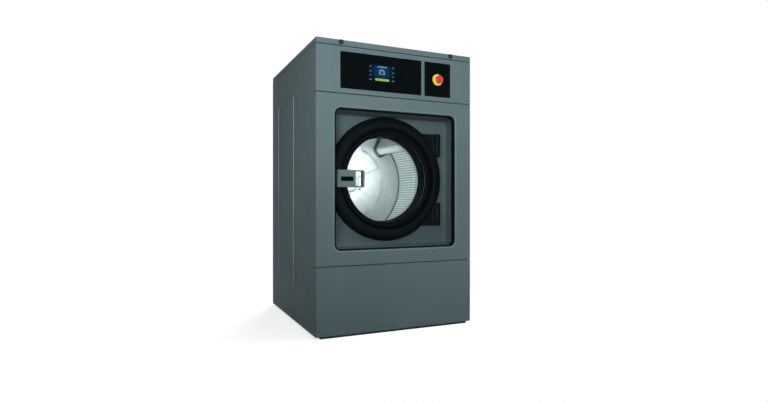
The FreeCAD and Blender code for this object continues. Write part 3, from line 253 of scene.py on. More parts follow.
shell_low, shell_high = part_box("drum_shell")
SHELL_RADIUS, SHELL_SHEET = shell_high.x, 0.002
SHELL_INSIDE = SHELL_RADIUS - SHELL_SHEET
MOUTH_RADIUS, RING_DEPTH = 0.204, 0.019
PLAIN_FRONT, PLAIN_BACK = 0.022, 0.008
HOLES_ROUND, HOLE_ROWS = 144, 38
HOLE_HALF_WIDTH, HOLE_HALF_LENGTH = 0.0052, 0.0049
punch_front, punch_back = shell_low.y + PLAIN_FRONT, shell_high.y - PLAIN_BACK
row_height = (punch_back - punch_front) / HOLE_ROWS
half_turn = pi / HOLES_ROUND
cell_edge = [(-1, -1), (0, -1), (1, -1), (1, 1), (0, 1), (-1, 1)]
hole_edge = [(-0.87, -0.5), (0, -1), (0.87, -0.5), (0.87, 0.5), (0, 1), (-0.87, 0.5)]
skins = (("in", SHELL_INSIDE), ("out", SHELL_RADIUS))
shell_verts, shell_faces, shell_index = [], [], {}


def shell_point(key, turn, y, radius):
    """The number of a point on the shell, shared by the cells that meet there."""
    if key not in shell_index:
        shell_index[key] = len(shell_verts)
        shell_verts.append((radius * cos(turn), y, AXIS + radius * sin(turn)))
    return shell_index[key]


for row in range(HOLE_ROWS):
    middle = punch_front + (row + 0.5) * row_height
    for cell in range(HOLES_ROUND):
        walls = []
        for skin, radius in skins:
            edge, hole = [], []
            for a, b in cell_edge:
                key = (skin, (2 * cell + a) % (2 * HOLES_ROUND), 2 * row + b)
                edge.append(shell_point(key, (2 * cell + a) * half_turn, middle + b * row_height / 2, radius))
            for a, b in hole_edge:
                turn = 2 * cell * half_turn + a * HOLE_HALF_WIDTH / SHELL_RADIUS
                hole.append(shell_point((skin, row, cell, a, b), turn, middle + b * HOLE_HALF_LENGTH, radius))
            shell_faces += [(edge[i - 1], edge[i], hole[i], hole[i - 1]) for i in range(6)]
            walls.append(hole)
        near, far = walls
        shell_faces += [(near[i - 1], near[i], far[i], far[i - 1]) for i in range(6)]
for row, y in ((-1, shell_low.y + RING_DEPTH), (2 * HOLE_ROWS - 1, shell_high.y)):
    rims = [[shell_point((skin, "rim", row, step), step * half_turn, y, radius)
             for step in range(2 * HOLES_ROUND)] for skin, radius in skins]
    for step in range(2 * HOLES_ROUND):
        after = (step + 1) % (2 * HOLES_ROUND)
        for (skin, _), rim in zip(skins, rims):
            here, there = shell_index[(skin, step, row)], shell_index[(skin, after, row)]
            shell_faces.append((here, there, rim[after], rim[step]))
        shell_faces.append((rims[0][step], rims[0][after], rims[1][after], rims[1][step]))
drum_steel = brushed("drum_steel", (0.515, 0.588, 0.588), 0.54, 0.05, 300)
# The shell and the lifters take a far lighter copy of the drum's stainless: painted light for the bright wall
# and the lifters' lit crests.
shell_steel_painted_light = brushed("shell_steel_painted_light", (0.86, 0.94, 0.94), 0.50, 0.05, 300)
add_piece("drum_shell_punched", (shell_verts, shell_faces), shell_steel_painted_light, "drum", ["drum_shell"])
front_ring = from_y(
    shell_low.y, (MOUTH_RADIUS, 0.006), (MOUTH_RADIUS + 0.0018, 0.0018), (MOUTH_RADIUS + 0.006, 0),
    (SHELL_RADIUS - 0.012, 0), (SHELL_RADIUS - 0.0035, 0.0035), (SHELL_RADIUS, 0.012),
    (SHELL_RADIUS, RING_DEPTH), (SHELL_INSIDE, RING_DEPTH), (SHELL_INSIDE, 0.012),
    (SHELL_RADIUS - 0.005, 0.005), (SHELL_RADIUS - 0.012, 0.002), (MOUTH_RADIUS + 0.006, 0.002),
    (MOUTH_RADIUS + 0.002, 0.006), (MOUTH_RADIUS + 0.002, 0.010), (MOUTH_RADIUS, 0.010))
add_piece("drum_front_ring", turned(front_ring), drum_steel, "drum")

# Drum back: a stainless plate, crowned towards the door and pressed with six raised fields round a hub cover.
# The cover is held by a ring of domed nuts, and the plate is welded to the shell all round.
plate_low, plate_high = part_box("drum_back")
FIT = 0.0002
PLATE_RADIUS, PLATE_BORE = SHELL_INSIDE - FIT, 0.026
CROWN_WIDTH, CROWN_DEPTH = 0.130, 0.017
FIELDS, FIELD_START, FIELD_WIDTH = 6, radians(10), radians(47)
FIELD_INNER, FIELD_OUTER = 0.090, 0.212
FIELD_RISE, FIELD_SLOPE = 0.0024, 0.018
SPOKE_RISE, SPOKE_HALF_WIDTH, SPOKE_END = 0.0015, 0.008, 0.296


def eased(share):
    """A share from 0 to 1 that starts and ends softly."""
    share = min(1.0, max(0.0, share))
    return share * share * (3 - 2 * share)


def pressed_out(radius, angle):
    """How far the plate stands forward at a place, in metres: a crown, and a ring of fields with spokes."""
    pitch = radians(360 / FIELDS)
    turn = (angle - FIELD_START) % pitch - pitch
    across = min(-turn * radius, (turn + FIELD_WIDTH) * radius)
    inside = min(across, FIELD_OUTER - radius, radius - FIELD_INNER)
    spoke = SPOKE_HALF_WIDTH - abs(turn) * radius if FIELD_OUTER < radius < SPOKE_END else 0.0
    crown = CROWN_DEPTH * (1 - max(0.0, 1 - (PLATE_RADIUS - radius) / CROWN_WIDTH) ** 2)
    return FIELD_RISE * eased(inside / FIELD_SLOPE) + SPOKE_RISE * eased(spoke / SPOKE_HALF_WIDTH) + crown


PLATE_TURNS, PLATE_RINGS = 300, 56


def plate_ring(ring, y):
    """One ring of points on the pressed plate, whose flat would lie at y."""
    radius = PLATE_BORE + (PLATE_RADIUS - PLATE_BORE) * ring / PLATE_RINGS
    angles = [2 * pi * turn / PLATE_TURNS for turn in range(PLATE_TURNS)]
    return [(radius * cos(angle), y - pressed_out(radius, angle), AXIS + radius * sin(angle))
            for angle in angles]


plate_loops = [plate_ring(ring, plate_low.y) for ring in range(PLATE_RINGS + 1)]
plate_loops += [plate_ring(ring, plate_high.y) for ring in reversed(range(PLATE_RINGS + 1))]
back_plate = lofted(plate_loops, True)
add_piece("drum_back_pressed", back_plate, drum_steel, "drum", ["drum_back"], sharp=60)
hub_y = plate_low.y - CROWN_DEPTH
HUB_RADIUS, NUT_CIRCLE, AT_AXIS = 0.058, 0.07, 0.0001
hub_cover = from_y(hub_y, (AT_AXIS, -0.0050), (0.020, -0.0049), (0.038, -0.0044), (0.052, -0.0030),
                   (HUB_RADIUS, -0.0008), (HUB_RADIUS, 0), (AT_AXIS, 0))
add_piece("drum_hub_cover", turned(hub_cover, steps=64), drum_steel, "drum")


def joined(shapes):
    """The points and faces of several shapes as one."""
    verts, faces = [], []
    for points, sides in shapes:
        faces += [tuple(len(verts) + index for index in side) for side in sides]
        verts += points
    return verts, faces


nut_dome = from_y(hub_y, (AT_AXIS, -0.009), (0.0035, -0.0084), (0.006, -0.006), (0.0068, -0.004),
                  (0.0085, -0.0035), (0.0085, 0), (AT_AXIS, 0))
nut_turns = [2 * pi * (nut + 0.5) / FIELDS for nut in range(FIELDS)]
hub_nuts = joined(turned(nut_dome, NUT_CIRCLE * cos(turn), AXIS + NUT_CIRCLE * sin(turn), steps=16)
                  for turn in nut_turns)
add_piece("drum_hub_nuts", hub_nuts, drum_steel, "drum")
# Weld tone for the corner seam and the lifters' beads; round each lifter's end the dark bead also paints the
# lifter's shadow on the plate.
weld_steel_and_painted_shadow = cast("weld_steel_and_painted_shadow", (0.15, 0.18, 0.185), 0.5, 1.0, 0.0003)
corner_seam = from_y(plate_low.y, (PLATE_RADIUS - 0.0110, 0), (PLATE_RADIUS - 0.0070, -0.0016),
                     (PLATE_RADIUS - 0.0016, -0.0060), (PLATE_RADIUS, -0.0095), (PLATE_RADIUS, 0))
add_piece("drum_corner_seam", turned(corner_seam), weld_steel_and_painted_shadow, "drum")

# Lifters: three hollow ribs folded from stainless sheet, rounded at the end towards the door, in the shell's
# lighter painted-light steel.
# They are fixed to the shell and welded to the drum's back with a broad bead, dark partly as weld and partly
# as painted shadow round each end.
lifter_low, lifter_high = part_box("drum_lifters")
LIFTER_TURNS = [radians(turn) for turn in (45, 165, 285)]
LIFTER_SEAT, LIFTER_CREST = SHELL_INSIDE - 2 * FIT, 0.2462
LIFTER_RISE = LIFTER_SEAT - LIFTER_CREST
NOSE, NOSE_STEPS, NOSE_WIDTH, NOSE_TIP = 0.06, 8, 0.55, 0.03
lifter_flank = [(0.045, 0.0), (0.041, 0.05), (0.033, 0.45), (0.0275, 0.72), (0.0235, 0.88), (0.017, 0.965),
                (0.008, 0.995)]
lifter_shape = [(-across, height) for across, height in lifter_flank] + [(0.0, 1.0)] + lifter_flank[::-1]


def held(reach, width):
    """A reach from the drum's axis, held inside the shell."""
    return min(reach, sqrt(LIFTER_SEAT ** 2 - width ** 2))


def lifter_place(angle, reach, width, y):
    """A place on the lifter at an angle, by its reach from the axis and its width across."""
    return (reach * cos(angle) - width * sin(angle), y,
            AXIS + reach * sin(angle) + width * cos(angle))


def folded_lifter(angle):
    """One lifter, whose height and width grow along its rounded nose."""
    nose_runs = [step / NOSE_STEPS for step in range(NOSE_STEPS + 1)]
    sections = [(lifter_low.y + NOSE * run, max(NOSE_TIP, sqrt(1 - (1 - run) ** 2))) for run in nose_runs]
    sections.append((lifter_high.y - FIT, 1.0))
    loops = []
    for y, share in sections:
        loop = []
        for across, height in lifter_shape:
            width = across * (NOSE_WIDTH + (1 - NOSE_WIDTH) * share)
            reach = held(LIFTER_SEAT - height * share * LIFTER_RISE, width)
            loop.append(lifter_place(angle, reach, width, y))
        loops.append(loop)
    return lofted(loops)


bead_section = [(-0.001, 0.018), (0.0012, 0.012), (0.0045, 0.006), (0.0095, 0.0022), (0.016, 0.0),
                (-0.001, 0.0)]


def weld_bead(angle):
    """A bead on the plate round a lifter's end, square to the lifter's outline."""
    loops = []
    for (a0, h0), (a1, h1), (a2, h2) in zip(lifter_shape, lifter_shape[1:], lifter_shape[2:]):
        away = Vector(((h2 - h0) * LIFTER_RISE, -(a2 - a0))).normalized()
        loop = []
        for out_by, rise in bead_section:
            width = a1 - away.x * out_by
            reach = held(LIFTER_SEAT - h1 * LIFTER_RISE + away.y * out_by, width)
            plate = plate_low.y - pressed_out(hypot(reach, width), angle + atan2(width, reach))
            loop.append(lifter_place(angle, reach, width, plate - rise))
        loops.append(loop)
    return lofted(loops)


lifters = joined(folded_lifter(turn) for turn in LIFTER_TURNS)
add_piece("drum_lifters_folded", lifters, shell_steel_painted_light, "drum", ["drum_lifters"], sharp=50)
lifter_beads_and_shadow = joined(weld_bead(turn) for turn in LIFTER_TURNS)
add_piece("drum_lifter_beads_and_shadow", lifter_beads_and_shadow, weld_steel_and_painted_shadow, "drum", sharp=50)

# Drain, electrics and control housings inside the cabinet: moulded plastic boxes and pipes.
# The mouldings have a fine spark-eroded texture.


def moulded(name, colour, rough, depth=0.00006, specular=0.35):
    """A plastic moulding with a texture of that depth."""
    return mottled(name, colour, rough, (5, 4, 0.92, 1.08), (40, 3, 0.04, 0.05), (900, 2, depth),
                   specular=specular)


grey_moulding = moulded("grey_moulding", (0.17, 0.175, 0.18), 0.5)
black_moulding = moulded("black_moulding", (0.0045, 0.0062, 0.0072), 0.45, specular=0.05)
dress(grey_moulding, "drain_elbow", "inverter_box", "terminal_box", "display_module", "estop_block",
      "door_lock")
dress(black_moulding, "drain_actuator")

# Recess pan: a tray drawn from one sheet, powder-coated like the cabinet, with a round mouth in its floor.
# Its flat rim is bolted behind the front panel, and the tub's gasket fills the mouth.
coat_grey = sprayed("coat_grey", (0.109, 0.158, 0.168), 0.42, 0.008)


def outline(a0, a1, b0, b1, radius, corner=6, side=1):
    """Points round a rectangle with rounded corners: corner and side are the steps round and along each."""
    centres = [(a0 + radius, b0 + radius, 180), (a1 - radius, b0 + radius, 270),
               (a1 - radius, b1 - radius, 0), (a0 + radius, b1 - radius, 90)]
    points = []
    for index, (a, b, start) in enumerate(centres):
        for step in range(corner + 1):
            angle = radians(start + 90 * step / corner)
            points.append((a + radius * cos(angle), b + radius * sin(angle)))
        here_a, here_b = points[-1]
        after_a, after_b, after_start = centres[(index + 1) % 4]
        angle = radians(after_start)
        there_a, there_b = after_a + radius * cos(angle), after_b + radius * sin(angle)
        for step in range(1, side):
            share = step / side
            points.append((here_a + (there_a - here_a) * share, here_b + (there_b - here_b) * share))
    return points


def upright(y, *shape):
    """An outline that stands upright at a depth y."""
    return [(a, y, b) for a, b in outline(*shape)]


def bends(radius, steps):
    """Steps round a bend of that radius: how far it still stands out, and how far it has gone back."""
    turns = [radians(90 * step / steps) for step in range(steps + 1)]
    return [(radius * (1 - sin(turn)), radius * (1 - cos(turn))) for turn in turns]


def even_normals(piece):
    """Keep broad flat faces flat where they run into small rounded edges."""
    weigh = piece.modifiers.new("flat_faces", "WEIGHTED_NORMAL")
    weigh.keep_sharp = True
    weigh.weight = 90


pan_low, pan_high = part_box("recess_pan")
trim_low, trim_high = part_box("opening_trim")
PAN_SHEET, PAN_CORNER, PAN_MARGIN = 0.002, 0.024, 0.005
PAN_HOLE, PAN_WALL, PAN_RIM = 0.302, 0.340, 0.060
DRAWN, DRAWN_STEPS, PAN_POINTS = 0.010, 4, (8, 14)
pan_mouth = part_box("door_gasket")[1].x + 0.00005
floor_y, rim_back = pan_high.y - PAN_SHEET, pan_low.y + PAN_SHEET


def pan_loop(half, grow, y):
    """A loop of the pan as high as the opening in its rim, at half a width and grown all round."""
    low, high = trim_low.z + PAN_MARGIN - grow, trim_high.z - PAN_MARGIN + grow
    return upright(y, -half - grow, half + grow, low, high, PAN_CORNER + grow, *PAN_POINTS)


def drawn_loops(grow, y):
    """Loops round the drawn edge from the pan's wall to its floor."""
    return [pan_loop(PAN_WALL, grow - back, y - out) for out, back in bends(DRAWN, DRAWN_STEPS)]


def mouth_loop(radius, y):
    """The pan's round mouth, with as many points as the loops of its wall."""
    wall = pan_loop(PAN_WALL, 0, y)
    start = atan2(wall[0][2] - AXIS, wall[0][0])
    turns = [start + 2 * pi * step / len(wall) for step in range(len(wall))]
    return [(radius * cos(turn), y, AXIS + radius * sin(turn)) for turn in turns]


pan_loops = [pan_loop(PAN_HOLE, PAN_RIM, pan_low.y), pan_loop(PAN_HOLE, 0.0004, pan_low.y),
             pan_loop(PAN_HOLE, -0.0005, pan_low.y + 0.0006), pan_loop(PAN_HOLE, -0.0005, rim_back),
             pan_loop(PAN_WALL, 0, rim_back)]
pan_loops += drawn_loops(0, floor_y)
pan_loops += [mouth_loop(pan_mouth + 0.004, floor_y), mouth_loop(pan_mouth, floor_y),
              mouth_loop(pan_mouth, pan_high.y)]
pan_loops += drawn_loops(PAN_SHEET, pan_high.y)[::-1]
pan_loops += [pan_loop(PAN_WALL, PAN_SHEET, rim_back), pan_loop(PAN_HOLE, PAN_RIM, rim_back)]
recess_pan = add_piece("recess_pan_drawn", lofted(pan_loops, True), coat_grey, "cabinet",
                       ["recess_pan"], sharp=50)


def block(low, high):
    """Points and faces of a straight-sided block between two corners."""
    corners = [(x, y, z) for x in (low[0], high[0]) for y in (low[1], high[1]) for z in (low[2], high[2])]
    return corners, [(0, 1, 3, 2), (4, 6, 7, 5), (0, 4, 5, 1), (2, 3, 7, 6), (0, 2, 6, 4), (1, 5, 7, 3)]


def cut_box(piece, low, high):
    """Cut a straight-sided window through a piece."""
    corners, faces = block(low, high)
    mesh = bpy.data.meshes.new("cutter")
    mesh.from_pydata(corners, [], faces)
    cutter = placed("cutter", mesh)
    cut = piece.modifiers.new("window", "BOOLEAN")
    cut.operation = "DIFFERENCE"
    cut.solver = "EXACT"
    cut.object = cutter
    bpy.context.view_layer.update()
    cut_mesh = bpy.data.meshes.new_from_object(piece.evaluated_get(bpy.context.evaluated_depsgraph_get()))
    piece.modifiers.clear()
    piece.data = cut_mesh
    piece.data.set_sharp_from_angle(angle=radians(40))
    bpy.data.objects.remove(cutter)


TONGUE_SLOT_LEFT, TONGUE_SLOT_RIGHT, TONGUE_SLOT_HALF = -0.278, -0.251, 0.012
CUT_PAST = 0.01
cut_box(recess_pan, (TONGUE_SLOT_LEFT, floor_y - CUT_PAST, AXIS - TONGUE_SLOT_HALF),
        (TONGUE_SLOT_RIGHT, pan_high.y + CUT_PAST, AXIS + TONGUE_SLOT_HALF))
even_normals(recess_pan)

# Door gasket: a moulded rubber ring clamped in the tub's mouth, with a rounded lip that meets the door.
# Its thin sleeve runs on through the tub's mouth and ends just short of the drum; its black also paints the
# shade over the drum's front ring.
gasket_low, gasket_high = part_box("door_gasket")
GASKET_LIP, GASKET_RIM, GASKET_CLEAR = 0.216, gasket_high.x, 0.0045
gasket_profile = from_y(
    gasket_low.y, (GASKET_LIP, 0.004), (GASKET_LIP + 0.002, 0.001), (GASKET_LIP + 0.006, 0),
    (GASKET_RIM - 0.005, 0), (GASKET_RIM - 0.0012, 0.0015), (GASKET_RIM, 0.005))
gasket_profile += from_y(
    gasket_high.y, (GASKET_RIM, 0), (GASKET_LIP - 0.0004, 0), (GASKET_LIP - 0.0006, 0.004))
gasket_profile += from_y(shell_low.y - GASKET_CLEAR, (0.2070, 0), (0.2046, 0), (0.2044, -0.002))
gasket_profile += from_y(
    gasket_high.y, (GASKET_LIP - 0.004, 0.002), (GASKET_LIP - 0.004, -0.006), (GASKET_LIP - 0.001, -0.009),
    (GASKET_LIP - 0.001, -0.012), (GASKET_LIP - 0.003, -0.015))
add_piece("door_gasket_moulded", turned(gasket_profile), black_rubber, "cabinet",
          ["door_gasket"])

# Hinge brackets: two knuckles bent from steel plate, given the frame's dark finish.
# They are bolted to the floor of the recess pan and carry the door on its pins.
dress(frame_paint, "hinge_brackets")

# Opening trim: a black rubber frame pressed into the gap between the front panel and the recess pan.
# It shows as a dark band with a rounded bead along its front edge.
TRIM_WIDTH, TRIM_BEAD, OPENING_CORNER, FRONT_POINTS = 0.006, 0.002, 0.030, (8, 2)


def opening_loop(grow, y):
    """The outline of the door opening, grown all round."""
    return upright(y, trim_low.x - grow, trim_high.x + grow, trim_low.z - grow, trim_high.z + grow,
                   OPENING_CORNER + grow, *FRONT_POINTS)


bead_y = trim_low.y + TRIM_BEAD
trim_loops = [opening_loop(-FIT, trim_high.y), opening_loop(-FIT, bead_y)]
for step in range(5):
    bend = radians(45 * step)
    trim_loops.append(opening_loop(-TRIM_WIDTH / 2 + (TRIM_WIDTH / 2 - 2 * FIT) * cos(bend),
                                   bead_y - TRIM_BEAD * sin(bend)))
trim_loops += [opening_loop(-TRIM_WIDTH + FIT, bead_y), opening_loop(-TRIM_WIDTH + FIT, trim_high.y)]
add_piece("opening_trim_rubber", lofted(trim_loops, True), black_rubber, "cabinet",
          ["opening_trim"], sharp=60)

# Front panel: folded sheet steel round the door opening, powder-coated grey-green.
# Its outer edges are folded back and its opening is drawn inwards to a lip, whose outer part takes a paler
# copy of the coat: a painted highlight along the rolled edge.
front_low, front_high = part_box("front_panel")
FRONT = front_low.y
SHEET, PANEL_CORNER = 0.002, 0.0012
SIDE_FOLD, EDGE_FOLD, LEAST_FOLD, FOLD_STEPS = 0.005, 0.0028, 0.0004, 5
LIP, LIP_STEPS, FLANGE, HIGHLIGHT_PART = 0.007, 4, 0.016, 0.6


def front_outline(low, high, in_a, in_b, y):
    """The outline of a panel on the front, drawn in at its sides and at its top and foot."""
    return upright(y, low.x + in_a, high.x - in_a, low.z + in_b, high.z - in_b, PANEL_CORNER, *FRONT_POINTS)


def folded_edge(low, high, inset):
    """Loops round a panel's fold, from its face to its rear edge; inset is the sheet for the inside."""
    sides = bends(SIDE_FOLD - inset, FOLD_STEPS)
    edges = bends(max(EDGE_FOLD - inset, LEAST_FOLD), FOLD_STEPS)
    loops = [front_outline(low, high, inset + side, inset + edge, low.y + inset + back)
             for (side, back), (edge, _) in zip(sides, edges)]
    return loops + [front_outline(low, high, inset, inset, high.y)]


def lip_loops(inset):
    """Loops round the opening's rolled lip; inset is the sheet for its inside."""
    return [opening_loop(inset + out, FRONT + inset + back) for out, back in bends(LIP - inset, LIP_STEPS)]


front_loops = folded_edge(front_low, front_high, 0.0)[::-1] + lip_loops(0.0)
front_loops += [opening_loop(0, FRONT + FLANGE), opening_loop(SHEET, FRONT + FLANGE)]
front_loops += lip_loops(SHEET)[::-1] + folded_edge(front_low, front_high, SHEET)
front_panel = add_piece("front_panel_folded", lofted(front_loops, True), coat_grey, "cabinet",
                        ["front_panel"], sharp=60)
# A paler copy of the coat on the lip's outer faces paints a highlight along the opening's rolled edge.
front_panel.data.materials.append(sprayed("coat_painted_highlight", (0.140, 0.200, 0.212), 0.35, 0.2))
for face in front_panel.data.polygons:
    x, y, z = face.center
    near_opening = abs(x) < trim_high.x + LIP and trim_low.z - LIP < z < trim_high.z + LIP
    if near_opening and FRONT + 0.0001 < y < FRONT + HIGHLIGHT_PART * LIP:
        face.material_index = 1
even_normals(front_panel)

# Kick panel: a plain folded tray of the same coated sheet under the front panel.
# It comes off for service, and a black strip set back in the seam above it paints the shade in the gap.
kick_low, kick_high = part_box("lower_front_panel")
STRIP_HALF, STRIP_FRONT, STRIP_BACK, STRIP_CORNER = 0.386, 0.010, 0.020, 0.003


def tray(low, high):
    """A panel folded back along its four edges."""
    return lofted(folded_edge(low, high, SHEET) + folded_edge(low, high, 0.0)[::-1])


def lying(z, points):
    """An outline laid flat at a height z."""
    return [(a, b, z) for a, b in points]


def shade_strip(name, z0, z1):
    """A flat black strip back from the faces of two panels, painted shade in the seam between them."""
    strip = outline(-STRIP_HALF, STRIP_HALF, FRONT + STRIP_FRONT, FRONT + STRIP_BACK, STRIP_CORNER)
    add_piece(name, lofted([lying(z0, strip), lying(z1, strip)]), black_rubber, "cabinet")


kick_panel = add_piece("kick_panel_folded", tray(kick_low, kick_high), coat_grey, "cabinet",
                       ["lower_front_panel"], sharp=60)
even_normals(kick_panel)
shade_strip("kick_shade_strip", kick_high.z, front_low.z)

# Control fascia: a folded tray of coated sheet above the door, with two cut-outs for the black panels.
# A second black strip, painted shade, sits back in the seam between it and the front panel.
fascia_low, fascia_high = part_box("control_fascia")
control_fascia = add_piece("control_fascia_folded", tray(fascia_low, fascia_high), coat_grey, "cabinet",
                           ["control_fascia"], sharp=60)
display_low, display_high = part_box("display_glass")
stop_plate_low, stop_plate_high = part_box("estop_plate")
PANEL_GAP, CUT_BEHIND = 0.0004, 0.004
for low, high in ((display_low, display_high), (stop_plate_low, stop_plate_high)):
    cut_box(control_fascia, (low.x - PANEL_GAP, low.y - CUT_PAST, low.z - PANEL_GAP),
            (high.x + PANEL_GAP, high.y + CUT_BEHIND, high.z + PANEL_GAP))
even_normals(control_fascia)
shade_strip("fascia_shade_strip", front_high.z, fascia_low.z)

# Black panels: a printed glass over the screen and a matching plate that carries the emergency stop.
# Both are set flush in the fascia and have polished edges.
PANEL_EDGE = 0.0008
printed_glass = Finish("black_gloss")
printed_glass.tone(printed_glass.grain(7, 4), (0.0012, 0.0026, 0.0032), (0.0020, 0.0036, 0.0042))
printed_glass.gloss(printed_glass.grain(26, 4), 0.13, 0.2)
printed_glass.shader.inputs["Specular IOR Level"].default_value = 0.02
black_gloss = printed_glass.material


def flush_plate(low, high):
    """A flat plate with softened edges on its front."""
    soft = PANEL_EDGE * 0.3
    steps = ((high.y, 0, 0.0015), (low.y + PANEL_EDGE, 0, 0.0015), (low.y + soft, soft, 0.0013),
             (low.y, PANEL_EDGE, 0.001))
    return lofted([upright(y, low.x + inset, high.x - inset, low.z + inset, high.z - inset, corner, 4)
                   for y, inset, corner in steps])


for name, node in (("display_glass_panel", "display_glass"), ("estop_plate_panel", "estop_plate")):
    plate = flush_plate(*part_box(node))
    even_normals(add_piece(name, plate, black_gloss, "cabinet", [node], sharp=60))

# Touch screen: lit tiles behind the glass, with plain marks for status, a round cycle gauge and a start bar.
# Each tile is modelled as a thin film on the glass, so the screen stays flush.
SCREEN_X, SCREEN_Z = -0.083, 1.177
FILM = 0.00015


def lit(name, colour, strength, dark=0.8, middle=None):
    """A lit film; with a middle given, it dims from there to its edges."""
    film = Finish(name)
    glow = film.grain(60, 2)
    if middle:
        away = add_node(film.tree, "VectorMath", {1: middle}, {0: film.place})
        away.operation = "DISTANCE"
        reach = {"From Min": 0.075, "From Max": 0.005}
        glow = add_node(film.tree, "MapRange", reach, {"Value": away.outputs["Value"]}).outputs["Result"]
    film.tone(glow, scaled(colour, dark), colour, "Emission Color")
    film.tone(film.grain(60, 2), scaled(colour, 0.1), scaled(colour, 0.15))
    film.shader.inputs["Emission Strength"].default_value = strength
    film.shader.inputs["Roughness"].default_value = 0.2
    film.shader.inputs["Specular IOR Level"].default_value = 0.02
    return film.material


def films(name, tiles, finish, layer):
    """Thin films on the glass: tiles of (x0, x1, z0, z1, corner) from the middle of the screen."""
    near, far = display_low.y - FILM * layer, display_low.y - FILM * (layer - 1)
    shapes = []
    for x0, x1, z0, z1, corner in tiles:
        tile = (SCREEN_X + x0, SCREEN_X + x1, SCREEN_Z + z0, SCREEN_Z + z1, corner, 4)
        shapes.append(lofted([upright(y, *tile) for y in (far, near)]))
    add_piece(name, joined(shapes), finish, "cabinet")


screen_middle = (SCREEN_X, display_low.y, SCREEN_Z + 0.012)
screen_blue = lit("screen_blue", (0.0020, 0.030, 0.078), 1.0, 0.12, screen_middle)
screen_pale = lit("screen_pale", (0.22, 0.40, 0.50), 0.9)
screen_dim = lit("screen_dim", (0.085, 0.14, 0.18), 0.9)
screen_green = lit("screen_green", (0.30, 0.62, 0.06), 0.8)
films("screen_ground", [(-0.065, 0.065, -0.037, 0.037, 0.002)], screen_blue, 1)
films("screen_title", [(-0.022, 0.024, 0.027, 0.031, 0.001)], screen_pale, 2)
MARK_COLUMN, MARK_CORNER = 0.056, 0.0012
mark_rows = [(0.004, 0.0265, 0.0325), (0.005, 0.004, 0.010), (0.005, -0.012, -0.008),
             (0.0065, -0.033, -0.027)]
films("screen_marks", [(side * MARK_COLUMN - half, side * MARK_COLUMN + half, z0, z1, MARK_CORNER)
                       for side in (-1, 1) for half, z0, z1 in mark_rows], screen_dim, 2)
films("screen_start_bar", [(-0.033, 0.036, -0.034, -0.024, 0.002)], screen_green, 2)
GAUGE_STEPS, GAUGE_UP = 40, 0.004


def gauge_arc(inner, outer, start, end):
    """A flat film bent round the gauge's middle from one angle to another, in degrees."""
    whole = end - start == 360
    loops = []
    for step in range(GAUGE_STEPS if whole else GAUGE_STEPS + 1):
        angle = radians(90 - start - (end - start) * step / GAUGE_STEPS)
        loops.append([(SCREEN_X + radius * cos(angle), display_low.y - FILM * layer,
                       SCREEN_Z + GAUGE_UP + radius * sin(angle))
                      for radius, layer in ((inner, 1), (inner, 2), (outer, 2), (outer, 1))])
    return lofted(loops, whole)


gauge = joined([gauge_arc(0.0120, 0.0150, -140, 140), gauge_arc(0.0065, 0.0085, -180, 180)])
add_piece("screen_gauge", gauge, screen_pale, "cabinet")

# Emergency stop: a red mushroom head on a sliding stem, inside a yellow collar.
# Glossy mouldings; the head has finger grips round its rim and twists to let go.
collar_low, collar_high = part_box("estop_collar")
STOP_X, STOP_Z = (collar_low.x + collar_high.x) / 2, (collar_low.z + collar_high.z) / 2
STOP_BORE = 0.0083
collar_radius = (collar_high.x - collar_low.x) / 2
yellow_gloss = moulded("yellow_gloss", (0.72, 0.60, 0.045), 0.3, 0.00003)
red_gloss = moulded("red_gloss", (0.60, 0.018, 0.024), 0.26, 0.00003)
collar_profile = from_y(
    collar_low.y, (STOP_BORE, 0.0012), (0.0095, 0.0004), (0.0125, 0), (collar_radius - 0.0028, 0),
    (collar_radius - 0.0008, 0.0008), (collar_radius, 0.0026))
collar_profile += [(collar_radius, collar_high.y), (STOP_BORE, collar_high.y)]
add_piece("estop_collar_ring", turned(collar_profile, STOP_X, STOP_Z, steps=64), yellow_gloss, "cabinet",
          ["estop_collar"])
head_low, head_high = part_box("estop_head")
head_radius = (head_high.x - head_low.x) / 2
GRIPS, GRIP_DEPTH, GRIP_FRONT, GRIP_BACK = 18, 0.018, 0.004, 0.003


def finger_grips(angle, y):
    """The hollows round the head's rim, as a share of its radius."""
    if not head_low.y + GRIP_FRONT < y < head_high.y - GRIP_BACK:
        return 0.0
    return -GRIP_DEPTH * (0.5 + 0.5 * cos(GRIPS * angle))


head_profile = from_y(
    head_low.y, (AT_AXIS, 0), (0.006, 0.0002), (0.011, 0.0009), (0.0150, 0.0023), (0.0176, 0.0042),
    (head_radius, 0.0065), (head_radius, 0.0105), (head_radius - 0.001, 0.0125))
head_profile += from_y(head_high.y, (0.0145, -0.0006), (0.0135, 0), (STOP_BORE, 0))
head_profile += from_y(head_low.y, (STOP_BORE, 0.0088), (AT_AXIS, 0.0088))
add_piece("estop_head_mushroom", turned(head_profile, STOP_X, STOP_Z, 144, finger_grips), red_gloss,
          "stop_head", ["estop_head"], sharp=50)
dress(black_moulding, "estop_stem")

# Side panels: flat powder-coated sheets, stiffened by two tall pressed-in fields each.
# They hang on the corner posts, and the slopes round the fields take a paler copy of the coat, a painted
# highlight along the pressed edges.
coat_press_painted_highlight = sprayed("coat_press_painted_highlight", (0.200, 0.285, 0.300), 0.42, 0.008)
PRESS_DEPTH, PRESS_SLOPE, PRESS_ROUND = 0.004, 0.003, 0.0014
PRESS_Y = (-0.2415, -0.0385, 0.0805, 0.2835)
PRESS_Z = (0.178, 1.115)
SLOPED = (0.2, 0.95)


